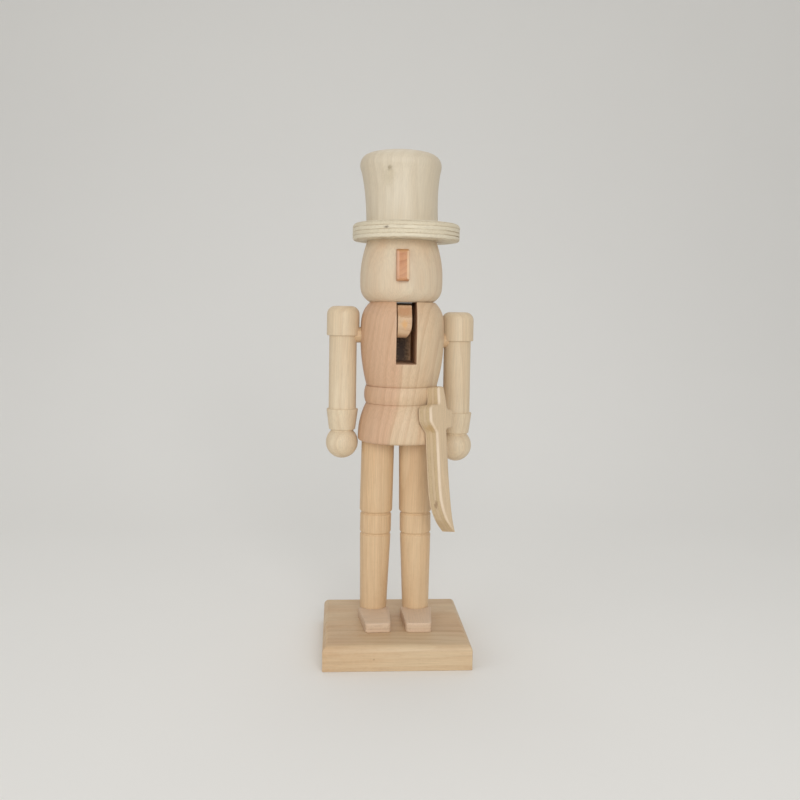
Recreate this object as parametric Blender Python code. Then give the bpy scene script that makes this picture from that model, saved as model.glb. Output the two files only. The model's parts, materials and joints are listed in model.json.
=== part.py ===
"""Unpainted wooden nutcracker: a turned figure whose back lever works its jaw.

Metres, +Z up. The origin is the centre of the base's underside and the figure faces -Y.
Left and right are the figure's own, so its left side is at +X.
"""

import math

import bmesh
import bpy
from mathutils import Matrix, Vector

# Clearances
SEAT_GAP = 0.0003           # between two faces that are glued or seated
DOWEL_GAP = 0.0003          # round a glued dowel, a pin or a screw, on its radius
RUN_GAP = 0.0004            # round the pin in the lever, which turns on it, on its radius
HOLE_SPARE = 0.0010         # depth that a blind hole has beyond its dowel

# Base
BASE_WIDTH = 0.0714
BASE_DEPTH = 0.0714
BASE_THICK = 0.0124
BASE_ROUND = 0.0034         # radius round the top edges

# Where the figure stands on the base
FIGURE_X = 0.0030           # axis of the body
FIGURE_Y = 0.0095
LEGS_X = 0.0009             # midline of the legs

# Legs, from the foot up
LEG_SPREAD = 0.01105        # from the midline to a leg's axis, at the base
LEG_SPLAY = math.radians(0.9)
LEG_FOOT_RADIUS = 0.0067
LEG_SHIN_RADIUS = 0.0079
LEG_BAND_RADIUS = 0.0080
LEG_THIGH_RADIUS = 0.0084
LEG_GROOVE_RADIUS = 0.0072
LEG_GROOVE_HALF = 0.0009    # half the width of a knee groove
SHIN_LENGTH = 0.0430
BAND_LENGTH = 0.0107
THIGH_LENGTH = 0.0370
THIGH_ROUND = 0.0026        # at the knee end of the thigh
LEG_EDGE = 0.0006

# Feet
FOOT_THICK = 0.0044
FOOT_LENGTH = 0.0248
FOOT_HEEL_WIDTH = 0.0159
FOOT_TOE_WIDTH = 0.0124
FOOT_HEEL_AHEAD = 0.0031    # from the leg's axis forward to the heel
FOOT_TOE_ROUND = 0.0016
RIGHT_FOOT_TURN = math.radians(3.1)  # each toe, towards the figure's left
LEFT_FOOT_TURN = math.radians(-1.2)

# Body: skirt, belt and torso in one turned piece
SKIRT_HEIGHT = 0.0196
SKIRT_RADIUS = 0.0222
SKIRT_TOP_RADIUS = 0.0182
SKIRT_POWER = 2.2
SKIRT_HEM_ROUND = 0.0014
BELT_HEIGHT = 0.0085
BELT_RADIUS = 0.0192
BELT_EDGE_RADIUS = 0.0184
BELT_POWER = 2.0
TORSO_HEIGHT = 0.0427
TORSO_RADIUS = 0.0214
TORSO_WIDEST = 0.0258       # height of the widest place above the belt
TORSO_FOOT_RADIUS = 0.0181
TORSO_TOP_RADIUS = 0.0166
TORSO_FOOT_POWER = 2.1
TORSO_TOP_POWER = 3.8
SLOT_WIDTH = 0.0102
SLOT_DEPTH = 0.0308         # down from the top of the torso
SLOT_SHIFT = 0.0008         # to the figure's left of the body's axis

# Head
HEAD_HEIGHT = 0.0306
HEAD_RADIUS = 0.0210
HEAD_WIDEST = 0.0122
HEAD_FOOT_RADIUS = 0.0163
HEAD_TOP_RADIUS = 0.0176
HEAD_FOOT_POWER = 4.2
HEAD_TOP_POWER = 1.9
HEAD_SHIFT = -0.0009        # to the figure's left of the body's axis

# Nose
NOSE_WIDTH = 0.0064
NOSE_HEIGHT = 0.0156
NOSE_ABOVE_CHIN = 0.0098    # from the underside of the head to the foot of the nose
NOSE_TOP_OUT = 0.0016       # how far it stands out of the widest place of the head
NOSE_FOOT_OUT = 0.0044
NOSE_SINK = 0.0040          # how far it is let in, from the same place
NOSE_ROUND = 0.0016
NOSE_SHIFT = -0.0008        # to the figure's left of the head's axis

# Hat
BRIM_RADIUS = 0.0274
BRIM_THICK = 0.0084
BRIM_ROUND = 0.0013
BRIM_SHIFT = 0.0022         # to the figure's left of the head's axis
CROWN_FOOT_RADIUS = 0.0182
CROWN_RADIUS = 0.0220
CROWN_WALL = 0.0340         # height of the flared wall, before its edge is rounded
CROWN_DOME = 0.0046
CROWN_EDGE = 0.0030
CROWN_POWER = 3.0
CROWN_LEAN = -0.037         # sideways, for each unit of height
DOME_POWER = 0.5

# Arms: cap, sleeve, cuff and hand in one turned piece each
CAP_RADIUS = 0.0083
CAP_LENGTH = 0.0150
CAP_ROUND = 0.0042
SLEEVE_RADIUS = 0.0070
SLEEVE_LENGTH = 0.0374
CUFF_RADIUS = 0.0081
CUFF_FOOT_RADIUS = 0.0067
CUFF_LENGTH = 0.0105
WRIST_RADIUS = 0.0058
WRIST_LENGTH = 0.0010
HAND_RADIUS = 0.0082
ARM_EDGE = 0.0004
LEFT_ARM_DROP = 0.0023      # the left arm is glued on lower
LEFT_ARM_BACK = math.radians(12.0)

# Jaw lever
LEVER_PLAY = 0.0016         # on each side of the lever, with the lever midway in the slot
LEVER_SIDE_GAP = 0.0006     # left on the side that the lever has slid towards
PIVOT_BACK = 0.0130         # from the figure's axis
PIVOT_DROP = 0.0072         # below the top of the torso
JAW_GAP = 0.0020            # under the head, with the mouth closed
JAW_RECESS = 0.0012         # of the chin, behind the widest place of the torso
JAW_HEIGHT = 0.0166
LIP_HEIGHT = 0.0060         # of the sloping face above the chin
LIP_BACK = 0.0040           # how far its top lies behind the chin
JAW_TOP_ROUND = 0.0006
JAW_FOOT_ROUND = 0.0050
LEVER_BELLY = 0.0060        # depth of the lever under its pivot
BELLY_ROUND = 0.0028        # in the corner between the belly and the handle
SHOULDER_SLOPE = math.radians(40.0)
HANDLE_GAP = 0.0005         # behind the lips of the slot, where the handle comes to rest
HANDLE_DEPTH = 0.0080
HANDLE_LENGTH = 0.0595      # down from the pivot
TAIL_LENGTH = 0.0120        # of the outward curl at the handle's end
TAIL_GAP = 0.0012           # behind the hem
HANDLE_ROUND = 0.0070
TAIL_ROUND = 0.0026         # of the handle's lower end
GRIP_WIDTH = 0.0112         # of the handle, which is broader than the jaw
GRIP_DROP = 0.0070          # below the pivot, where the handle starts to broaden
GRIP_FLARE = 0.0030         # height over which it broadens

# Sword
SWORD_THICK = 0.0080
SWORD_BEARING = math.radians(41.0)  # from the front towards the figure's left
SWORD_TILT = math.radians(4.5)      # swings the point to the front
SWORD_SHIFT = 0.0004        # of the blade's middle at the hilt, towards the back
HILT_WIDTH = 0.0046         # at its top
HILT_SPREAD = 0.0019        # how much wider it is at the guard
HILT_LENGTH = 0.0090
HILT_ROUND = 0.0015
GUARD_FRONT = 0.0040        # how far each guard stands out of the blade
GUARD_BACK = 0.0052
GUARD_FRONT_LENGTH = 0.0140
GUARD_BACK_LENGTH = 0.0096
GUARD_TAPER = 0.0055        # over which the front guard runs back into the blade
BLADE_WIDTH = 0.0075
HILT_BEHIND = 0.0024        # the hilt's front edge, behind the blade's
BLADE_LENGTH = 0.0486
BLADE_STRAIGHT = 0.0162     # length below the guard before the edge starts to curve
BLADE_SWEEP = 0.0019        # how far the point lies behind the straight back
BLADE_POWER = 4.0
SPINE_POWER = 2.0

# Dowels, pin and screws
SHOULDER_DOWEL_RADIUS = 0.0040
SHOULDER_DOWEL_DROP = 0.0146        # from the top of the arm
SHOULDER_DOWEL_IN_ARM = 0.0070
SHOULDER_DOWEL_IN_BODY = 0.0100
HIP_DOWEL_RADIUS = 0.0026
HIP_DOWEL_HALF = 0.0130
NECK_DOWEL_RADIUS = 0.0025
NECK_DOWEL_HALF = 0.0090
HAT_DOWEL_RADIUS = 0.0040
HAT_DOWEL_IN_HEAD = 0.0120
HAT_DOWEL_IN_CROWN = 0.0140
PIN_RADIUS = 0.00125
PIN_SETBACK = 0.0010        # below the sides of the torso
SCREW_HEAD_RADIUS = 0.0036
SCREW_HEAD_LENGTH = 0.0022
SCREW_RADIUS = 0.0016
SCREW_IN_LEG = 0.0110
SCREW_POINT = 0.0025
SCREW_RIM = 0.0003          # of the head, before it tapers
SCREW_SINK = 0.0005         # of the head below the underside

# Facets
BODY_SIDES = 48
BRIM_SIDES = 56
LIMB_SIDES = 22
DOWEL_SIDES = 16
CURVE_STEPS = 6
CORNER_STEPS = 3
BELT_STEPS = 3
DOME_STEPS = 3
LONG_STEPS = 12             # round the ball of a hand and along the blade
SEAT_STEPS = 24             # tried down the skirt to find where the sword touches it
OVERRUN = 0.0020            # how far a cutter passes out of what it cuts
MERGE = 0.000001
ROUND_PROFILE = 0.5         # a bevel of this profile is a circular arc
SHARP_ANGLE = math.radians(32.0)

# Heights that follow from the sizes above
LEG_LENGTH = SHIN_LENGTH + BAND_LENGTH + THIGH_LENGTH
LEG_FOOT_Z = BASE_THICK + SEAT_GAP + LEG_FOOT_RADIUS * math.sin(LEG_SPLAY)
LEG_TOP_Z = LEG_FOOT_Z + LEG_LENGTH * math.cos(LEG_SPLAY)
BODY_Z = LEG_TOP_Z + SEAT_GAP + LEG_THIGH_RADIUS * math.sin(LEG_SPLAY)
BELT_Z = SKIRT_HEIGHT
TORSO_Z = BELT_Z + BELT_HEIGHT
BODY_HEIGHT = TORSO_Z + TORSO_HEIGHT
SLOT_Z = BODY_HEIGHT - SLOT_DEPTH
SHOULDER_Z = TORSO_Z + TORSO_WIDEST
HEAD_Z = BODY_HEIGHT + SEAT_GAP
BRIM_Z = HEAD_Z + HEAD_HEIGHT + SEAT_GAP
CROWN_Z = BRIM_Z + BRIM_THICK + SEAT_GAP
PIVOT_Z = BODY_HEIGHT - PIVOT_DROP

BASSWOOD = (0.62, 0.44, 0.28)
PALE_BASSWOOD = (0.66, 0.53, 0.37)
PLYWOOD = (0.60, 0.46, 0.29)
DARK_WOOD = (0.55, 0.28, 0.14)
BIRCH_DOWEL = (0.60, 0.43, 0.26)
STEEL = (0.55, 0.55, 0.56)
WOOD_ROUGHNESS = 0.62
STEEL_ROUGHNESS = 0.35


def clear_scene():
    """Remove every object that the file opened with."""
    for item in list(bpy.data.objects):
        bpy.data.objects.remove(item, do_unlink=True)


def finish(name, colour, roughness=WOOD_ROUGHNESS, metallic=0.0):
    """Make a piece's own material."""
    material = bpy.data.materials.new(name)
    material.use_nodes = True
    shader = material.node_tree.nodes["Principled BSDF"]
    shader.inputs["Base Color"].default_value = (*colour, 1.0)
    shader.inputs["Roughness"].default_value = roughness
    shader.inputs["Metallic"].default_value = metallic
    return material


def empty(name, location, rotation=(0.0, 0.0, 0.0), parent=None):
    """Place an empty that carries pieces."""
    carrier = bpy.data.objects.new(name, None)
    bpy.context.collection.objects.link(carrier)
    carrier.location = location
    carrier.rotation_euler = rotation
    carrier.parent = parent
    return carrier


def piece(name, shape, parent, location=(0.0, 0.0, 0.0), rotation=(0.0, 0.0, 0.0), material=None):
    """Turn a bmesh into a named object under its carrier; without a material it is a cutter."""
    bmesh.ops.remove_doubles(shape, verts=shape.verts, dist=MERGE)
    bmesh.ops.recalc_face_normals(shape, faces=shape.faces)
    mesh = bpy.data.meshes.new(name)
    shape.to_mesh(mesh)
    shape.free()
    item = bpy.data.objects.new(name, mesh)
    bpy.context.collection.objects.link(item)
    item.location = location
    item.rotation_euler = rotation
    item.parent = parent
    if material is None:
        item.hide_render = True
        item.display_type = "WIRE"
        return item
    mesh.materials.append(material)
    mesh.shade_smooth()
    mesh.set_sharp_from_angle(angle=SHARP_ANGLE)
    return item


def cut(target, cutter):
    """Cut one object out of another."""
    modifier = target.modifiers.new("cut_" + cutter.name, "BOOLEAN")
    modifier.operation = "DIFFERENCE"
    modifier.solver = "EXACT"
    modifier.object = cutter


def bulge(widest, end, power, steps=CURVE_STEPS):
    """Points (radius, height) from a widest place to an end, drawn in by a power of the way."""
    points = []
    for step in range(steps + 1):
        share = step / steps
        radius = widest[0] + (end[0] - widest[0]) * share ** power
        points.append((radius, widest[1] + (end[1] - widest[1]) * share))
    return points


def rounded(corners, closed=False):
    """Points of an outline whose corners (across, up, radius) are rounded by arcs."""
    points = []
    count = len(corners)
    for index, (across, up, radius) in enumerate(corners):
        here = Vector((across, up))
        is_end = not closed and index in (0, count - 1)
        if radius == 0.0 or is_end:
            points.append((across, up))
            continue
        before = Vector(corners[index - 1][:2]) - here
        after = Vector(corners[(index + 1) % count][:2]) - here
        half = before.angle(after) / 2
        reach = min(radius / math.tan(half), before.length / 2, after.length / 2)
        bend = reach * math.tan(half)
        middle = here + (before.normalized() + after.normalized()).normalized() * (bend / math.sin(half))
        start = here + before.normalized() * reach - middle
        turn = start.angle_signed(here + after.normalized() * reach - middle)
        for step in range(CORNER_STEPS + 1):
            spoke = Matrix.Rotation(-turn * step / CORNER_STEPS, 2) @ start
            points.append(tuple(middle + spoke))
    return points


def turned(profile, sides):
    """Spin a profile (radius, height) round the Z axis; both its ends lie on the axis."""
    shape = bmesh.new()
    verts = [shape.verts.new((radius, 0.0, height)) for radius, height in profile]
    edges = [shape.edges.new(pair) for pair in zip(verts, verts[1:])]
    bmesh.ops.spin(shape, geom=verts + edges, axis=(0.0, 0.0, 1.0), cent=(0.0, 0.0, 0.0),
                   angle=math.tau, steps=sides, use_merge=True)
    return shape


def rod(radius, foot, top, sides=DOWEL_SIDES):
    """A plain round rod along Z, with its flats and not its corners facing X and Y."""
    shape = turned([(0.0, top), (radius, top), (radius, foot), (0.0, foot)], sides)
    bmesh.ops.rotate(shape, verts=shape.verts, matrix=Matrix.Rotation(math.pi / sides, 3, "Z"))
    return shape


def sawn(outline, thickness, middle=0.0):
    """Extrude an outline (Y, Z) along X, as a piece is sawn out of a board."""
    shape = bmesh.new()
    low = middle - thickness / 2
    verts = [shape.verts.new((low, across, up)) for across, up in outline]
    face = shape.faces.new(verts)
    grown = bmesh.ops.extrude_face_region(shape, geom=[face])
    moved = [item for item in grown["geom"] if isinstance(item, bmesh.types.BMVert)]
    bmesh.ops.translate(shape, verts=moved, vec=(thickness, 0.0, 0.0))
    return shape


def block(low, high):
    """A box between two corners."""
    shape = bmesh.new()
    bmesh.ops.create_cube(shape, size=1.0)
    size = Vector(high) - Vector(low)
    bmesh.ops.scale(shape, verts=shape.verts, vec=size)
    bmesh.ops.translate(shape, verts=shape.verts, vec=(Vector(high) + Vector(low)) / 2)
    return shape


def body_outline():
    """The turned profile of skirt, belt and torso, from the top down."""
    belt_middle = BELT_Z + BELT_HEIGHT / 2
    shoulder = (TORSO_RADIUS, SHOULDER_Z)
    hem = (SKIRT_RADIUS, SKIRT_HEM_ROUND)
    upper = bulge(shoulder, (TORSO_TOP_RADIUS, BODY_HEIGHT), TORSO_TOP_POWER)
    lower = bulge(shoulder, (TORSO_FOOT_RADIUS, TORSO_Z), TORSO_FOOT_POWER)
    belt_top = bulge((BELT_RADIUS, belt_middle), (BELT_EDGE_RADIUS, BELT_Z + BELT_HEIGHT), BELT_POWER,
                     BELT_STEPS)
    belt_foot = bulge((BELT_RADIUS, belt_middle), (BELT_EDGE_RADIUS, BELT_Z), BELT_POWER, BELT_STEPS)
    skirt = bulge(hem, (SKIRT_TOP_RADIUS, SKIRT_HEIGHT), SKIRT_POWER)
    rim = rounded([(*hem, 0.0), (SKIRT_RADIUS, 0.0, SKIRT_HEM_ROUND), (0.0, 0.0, 0.0)])
    torso = upper[::-1] + lower[1:]
    belt = belt_top[::-1] + belt_foot[1:]
    return [(0.0, BODY_HEIGHT)] + torso + belt + skirt[::-1] + rim[1:]


def radius_at(outline, height):
    """Radius of a turned profile at a height, read between its points from the top down."""
    for (upper_radius, upper), (lower_radius, lower) in zip(outline[1:], outline[2:]):
        if lower <= height <= upper and upper > lower:
            share = (height - lower) / (upper - lower)
            return lower_radius + (upper_radius - lower_radius) * share
    return 0.0


def build_base():
    """The base block, its top edges rounded over."""
    shape = block((-BASE_WIDTH / 2, -BASE_DEPTH / 2, 0.0), (BASE_WIDTH / 2, BASE_DEPTH / 2, BASE_THICK))
    top = [edge for edge in shape.edges if min(vert.co.z for vert in edge.verts) > BASE_THICK - MERGE]
    bmesh.ops.bevel(shape, geom=top, offset=BASE_ROUND, segments=CORNER_STEPS,
                    profile=ROUND_PROFILE, affect="EDGES")
    return piece("base_plate", shape, None, material=finish("base_plate", BASSWOOD))


def screw_outline(gap, point, foot):
    """Profile of a countersunk screw along a leg's line, or of its hole when given a gap."""
    head = SCREW_SINK - LEG_FOOT_Z
    neck = head + SCREW_HEAD_LENGTH
    return [
        (0.0, point),
        (SCREW_RADIUS + gap, point - SCREW_POINT),
        (SCREW_RADIUS + gap, neck + gap),
        (SCREW_HEAD_RADIUS + gap, head + SCREW_RIM + gap),
        (SCREW_HEAD_RADIUS + gap, head + foot),
        (0.0, head + foot),
    ]


def leg_outline():
    """Profile of a leg from its top down, with a groove on each side of the knee band."""
    lower = SHIN_LENGTH
    upper = SHIN_LENGTH + BAND_LENGTH
    half = LEG_GROOVE_HALF
    return rounded([
        (0.0, LEG_LENGTH, 0.0),
        (LEG_THIGH_RADIUS, LEG_LENGTH, LEG_EDGE),
        (LEG_THIGH_RADIUS, upper + half, THIGH_ROUND),
        (LEG_GROOVE_RADIUS, upper, 0.0),
        (LEG_BAND_RADIUS, upper - half, LEG_EDGE),
        (LEG_BAND_RADIUS, lower + half, LEG_EDGE),
        (LEG_GROOVE_RADIUS, lower, 0.0),
        (LEG_SHIN_RADIUS, lower - half, LEG_EDGE),
        (LEG_FOOT_RADIUS, 0.0, 0.0),
        (0.0, 0.0, 0.0),
    ])


def foot_shape():
    """A toe block, its heel square and its toe corners rounded, standing in front of its leg."""
    heel = -FOOT_HEEL_AHEAD
    toe = heel - FOOT_LENGTH
    outline = rounded([
        (heel, FOOT_HEEL_WIDTH / 2, 0.0),
        (toe, FOOT_TOE_WIDTH / 2, FOOT_TOE_ROUND),
        (toe, -FOOT_TOE_WIDTH / 2, FOOT_TOE_ROUND),
        (heel, -FOOT_HEEL_WIDTH / 2, 0.0),
    ], closed=True)
    shape = sawn(outline, FOOT_THICK)
    bmesh.ops.rotate(shape, verts=shape.verts, matrix=Matrix.Rotation(-math.pi / 2, 3, "Y"))
    return shape


def build_leg(side, line, foot_turn, base, body):
    """A leg with its foot, the screw up through the base and the dowel that joins it to the body."""
    leg = piece(side + "_leg", turned(leg_outline(), LIMB_SIDES), line,
                material=finish(side + "_leg", BASSWOOD))
    screw = turned(screw_outline(0.0, SCREW_IN_LEG, 0.0), DOWEL_SIDES)
    steel = finish(side + "_base_screw", STEEL, STEEL_ROUGHNESS, 1.0)
    piece(side + "_base_screw", screw, line, material=steel)
    sunk = turned(screw_outline(DOWEL_GAP, SCREW_IN_LEG + HOLE_SPARE, -OVERRUN), DOWEL_SIDES)
    screw_hole = piece(side + "_screw_hole", sunk, line)
    cut(base, screw_hole)
    cut(leg, screw_hole)

    dowel_low = LEG_LENGTH - HIP_DOWEL_HALF
    dowel_high = LEG_LENGTH + HIP_DOWEL_HALF
    dowel = rod(HIP_DOWEL_RADIUS, dowel_low, dowel_high)
    piece(side + "_hip_dowel", dowel, line, material=finish(side + "_hip_dowel", BIRCH_DOWEL))
    hole = rod(HIP_DOWEL_RADIUS + DOWEL_GAP, dowel_low - HOLE_SPARE, dowel_high + HOLE_SPARE)
    bore = piece(side + "_hip_hole", hole, line)
    cut(leg, bore)
    cut(body, bore)

    foot_place = (line.location.x, line.location.y, BASE_THICK + SEAT_GAP + FOOT_THICK / 2)
    foot = piece(side + "_foot", foot_shape(), None, foot_place, (0.0, 0.0, foot_turn),
                 finish(side + "_foot", PLYWOOD))
    notch = rod(LEG_FOOT_RADIUS + FOOT_THICK * math.tan(LEG_SPLAY) + DOWEL_GAP, -OVERRUN,
                FOOT_THICK + OVERRUN, LIMB_SIDES)
    cut(foot, piece(side + "_heel_notch", notch, line))


def build_body(figure):
    """Torso, belt and skirt, with the mouth slot sawn down from the top."""
    body = piece("body", turned(body_outline(), BODY_SIDES), figure, material=finish("body", BASSWOOD))
    reach = TORSO_RADIUS + OVERRUN
    slot = block((-SLOT_WIDTH / 2, -reach, SLOT_Z), (SLOT_WIDTH / 2, reach, BODY_HEIGHT + OVERRUN))
    cut(body, piece("mouth_slot", slot, figure, (SLOT_SHIFT, 0.0, 0.0)))
    return body


def build_head(figure, body):
    """The head, the two dowels that hold it and the nose let into its front."""
    widest = (HEAD_RADIUS, HEAD_WIDEST)
    upper = bulge(widest, (HEAD_TOP_RADIUS, HEAD_HEIGHT), HEAD_TOP_POWER)
    lower = bulge(widest, (HEAD_FOOT_RADIUS, 0.0), HEAD_FOOT_POWER)
    profile = [(0.0, HEAD_HEIGHT)] + upper[::-1] + lower[1:] + [(0.0, 0.0)]
    head = piece("head", turned(profile, BODY_SIDES), figure, (HEAD_SHIFT, 0.0, HEAD_Z),
                 material=finish("head", BASSWOOD))

    for side, sign in (("right", -1.0), ("left", 1.0)):
        lip = SLOT_WIDTH / 2 + sign * SLOT_SHIFT
        place = (sign * (lip + TORSO_TOP_RADIUS) / 2, 0.0, HEAD_Z)
        dowel = rod(NECK_DOWEL_RADIUS, -NECK_DOWEL_HALF, NECK_DOWEL_HALF)
        piece(side + "_neck_dowel", dowel, figure, place,
              material=finish(side + "_neck_dowel", BIRCH_DOWEL))
        depth = NECK_DOWEL_HALF + HOLE_SPARE
        hole = piece(side + "_neck_hole", rod(NECK_DOWEL_RADIUS + DOWEL_GAP, -depth, depth), figure, place)
        cut(head, hole)
        cut(body, hole)

    back = -(HEAD_RADIUS - NOSE_SINK)
    outline = rounded([
        (back, 0.0, 0.0),
        (back, NOSE_HEIGHT, 0.0),
        (-(HEAD_RADIUS + NOSE_TOP_OUT), NOSE_HEIGHT, NOSE_ROUND),
        (-(HEAD_RADIUS + NOSE_FOOT_OUT), 0.0, NOSE_ROUND),
    ], closed=True)
    place = (HEAD_SHIFT + NOSE_SHIFT, 0.0, HEAD_Z + NOSE_ABOVE_CHIN)
    piece("nose", sawn(outline, NOSE_WIDTH), figure, place, material=finish("nose", DARK_WOOD))
    half = NOSE_WIDTH / 2 + SEAT_GAP
    front_foot = (-half, -(HEAD_RADIUS + OVERRUN), -SEAT_GAP)
    mortise = block(front_foot, (half, back + SEAT_GAP, NOSE_HEIGHT + SEAT_GAP))
    cut(head, piece("nose_mortise", mortise, figure, place))
    return head


def build_hat(figure, head):
    """The brim, the crown and the dowel that runs through them into the head."""
    rim = rounded([
        (0.0, BRIM_THICK, 0.0),
        (BRIM_RADIUS, BRIM_THICK, BRIM_ROUND),
        (BRIM_RADIUS, 0.0, BRIM_ROUND),
        (0.0, 0.0, 0.0),
    ])
    brim = piece("hat_brim", turned(rim, BRIM_SIDES), figure, (HEAD_SHIFT + BRIM_SHIFT, 0.0, BRIM_Z),
                 material=finish("hat_brim", PLYWOOD))

    wall = bulge((CROWN_FOOT_RADIUS, 0.0), (CROWN_RADIUS, CROWN_WALL), CROWN_POWER)
    dome = bulge((0.0, CROWN_WALL + CROWN_DOME), (CROWN_RADIUS, CROWN_WALL), DOME_POWER, DOME_STEPS)
    corners = [(*point, 0.0) for point in dome[:-1]]
    corners.append((CROWN_RADIUS, CROWN_WALL, CROWN_EDGE))
    corners += [(*point, 0.0) for point in wall[-2::-1]]
    corners.append((0.0, 0.0, 0.0))
    shape = turned(rounded(corners), BODY_SIDES)
    lean = Matrix.Shear("XY", 4, (CROWN_LEAN, 0.0))
    bmesh.ops.transform(shape, verts=shape.verts, matrix=lean)
    crown = piece("hat_crown", shape, figure, (HEAD_SHIFT, 0.0, CROWN_Z),
                  material=finish("hat_crown", PALE_BASSWOOD))

    foot = BRIM_Z - HAT_DOWEL_IN_HEAD
    top = CROWN_Z + HAT_DOWEL_IN_CROWN
    axis = (HEAD_SHIFT, 0.0, 0.0)
    dowel = rod(HAT_DOWEL_RADIUS, foot, top)
    piece("hat_dowel", dowel, figure, axis, material=finish("hat_dowel", BIRCH_DOWEL))
    hole = rod(HAT_DOWEL_RADIUS + DOWEL_GAP, foot - HOLE_SPARE, top + HOLE_SPARE)
    bore = piece("hat_hole", hole, figure, axis)
    for target in (head, brim, crown):
        cut(target, bore)


def hand_middle():
    """Height of the middle of an arm's ball hand, from the top of the arm."""
    wrist_foot = -(CAP_LENGTH + SLEEVE_LENGTH + CUFF_LENGTH + WRIST_LENGTH)
    return wrist_foot - math.sqrt(HAND_RADIUS ** 2 - WRIST_RADIUS ** 2)


def arm_axis(top):
    """Distance from the figure's axis at which an arm of this top height clears shoulder and hem."""
    below_hem = SKIRT_HEM_ROUND - (top + hand_middle())
    reach = math.sqrt(max((HAND_RADIUS + SEAT_GAP) ** 2 - below_hem ** 2, 0.0))
    return max(TORSO_RADIUS + SEAT_GAP + CAP_RADIUS, SKIRT_RADIUS + reach)


def arm_outline():
    """Profile of an arm from the top of its cap down to the end of its ball hand."""
    cap = -CAP_LENGTH
    cuff = cap - SLEEVE_LENGTH
    wrist = cuff - CUFF_LENGTH
    start = math.asin(WRIST_RADIUS / HAND_RADIUS)
    middle = hand_middle()
    corners = [
        (0.0, 0.0, 0.0),
        (CAP_RADIUS, 0.0, CAP_ROUND),
        (CAP_RADIUS, cap, ARM_EDGE),
        (SLEEVE_RADIUS, cap, 0.0),
        (SLEEVE_RADIUS, cuff, 0.0),
        (CUFF_RADIUS, cuff, ARM_EDGE),
        (CUFF_FOOT_RADIUS, wrist, ARM_EDGE),
        (WRIST_RADIUS, wrist - WRIST_LENGTH / 2, 0.0),
    ]
    for step in range(LONG_STEPS + 1):
        angle = start + (math.pi - start) * step / LONG_STEPS
        corners.append((HAND_RADIUS * math.sin(angle), middle + HAND_RADIUS * math.cos(angle), 0.0))
    return rounded(corners)


def build_arm(side, bearing, drop, figure, body):
    """An arm, hung clear of the shoulder and the hem, and the dowel that holds it."""
    shoulder = empty(side + "_shoulder", (0.0, 0.0, SHOULDER_Z - drop), (0.0, 0.0, bearing), figure)
    axis = arm_axis(SHOULDER_Z - drop + SHOULDER_DOWEL_DROP)
    arm = piece(side + "_arm", turned(arm_outline(), LIMB_SIDES), shoulder,
                (axis, 0.0, SHOULDER_DOWEL_DROP), material=finish(side + "_arm", PALE_BASSWOOD))

    inner = TORSO_RADIUS - SHOULDER_DOWEL_IN_BODY
    outer = axis - CAP_RADIUS + SHOULDER_DOWEL_IN_ARM
    lying = (0.0, math.pi / 2, 0.0)
    dowel = rod(SHOULDER_DOWEL_RADIUS, inner, outer)
    piece(side + "_shoulder_dowel", dowel, shoulder, rotation=lying,
          material=finish(side + "_shoulder_dowel", BIRCH_DOWEL))
    hole = rod(SHOULDER_DOWEL_RADIUS + DOWEL_GAP, inner - HOLE_SPARE, outer + HOLE_SPARE)
    bore = piece(side + "_shoulder_hole", hole, shoulder, rotation=lying)
    cut(arm, bore)
    cut(body, bore)


def lever_outline():
    """Side view (back, up) of the lever about its pivot, from the jaw's top round its foot."""
    knuckle = HEAD_Z - JAW_GAP - PIVOT_Z
    chin = -(TORSO_RADIUS - JAW_RECESS + PIVOT_BACK)
    lip = math.sqrt(TORSO_RADIUS ** 2 - (SLOT_WIDTH / 2 - abs(SLOT_SHIFT)) ** 2)
    inner = lip + HANDLE_GAP - PIVOT_BACK
    outer = inner + HANDLE_DEPTH
    tail = SKIRT_RADIUS + TAIL_GAP - PIVOT_BACK
    tail_top = TAIL_LENGTH - HANDLE_LENGTH
    slope = math.tan(SHOULDER_SLOPE)
    crest = knuckle * math.tan(SHOULDER_SLOPE / 2)
    shoulder = knuckle - (outer - crest) * slope
    return rounded([
        (chin + LIP_BACK, knuckle, JAW_TOP_ROUND),
        (chin, knuckle - LIP_HEIGHT, 0.0),
        (chin, knuckle - JAW_HEIGHT, JAW_FOOT_ROUND),
        (inner, -LEVER_BELLY, BELLY_ROUND),
        (inner, tail_top, HANDLE_ROUND),
        (tail, -HANDLE_LENGTH, JAW_TOP_ROUND),
        (tail + HANDLE_DEPTH, -HANDLE_LENGTH, TAIL_ROUND),
        (outer, tail_top, HANDLE_ROUND),
        (outer, shoulder, HANDLE_ROUND),
        (crest, knuckle, knuckle),
    ], closed=True)


def lever_shape():
    """The lever, as wide as the jaw in the slot and broadened behind it into the handle."""
    aside = LEVER_SIDE_GAP - LEVER_PLAY
    width = SLOT_WIDTH - 2 * LEVER_PLAY
    shape = sawn(lever_outline(), width, aside)
    flare_foot = -(GRIP_DROP + GRIP_FLARE)
    for height in (-GRIP_DROP, flare_foot):
        everything = shape.verts[:] + shape.edges[:] + shape.faces[:]
        bmesh.ops.bisect_plane(shape, geom=everything, plane_co=(0.0, 0.0, height),
                               plane_no=(0.0, 0.0, 1.0))
    handle = [vert for vert in shape.verts if vert.co.y > 0.0]
    for vert in handle:
        share = min(max((-GRIP_DROP - vert.co.z) / GRIP_FLARE, 0.0), 1.0)
        half = width / 2 + (GRIP_WIDTH - width) / 2 * share
        vert.co.x = aside * (1.0 - share) + math.copysign(half, vert.co.x - aside)
    return shape


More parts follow.
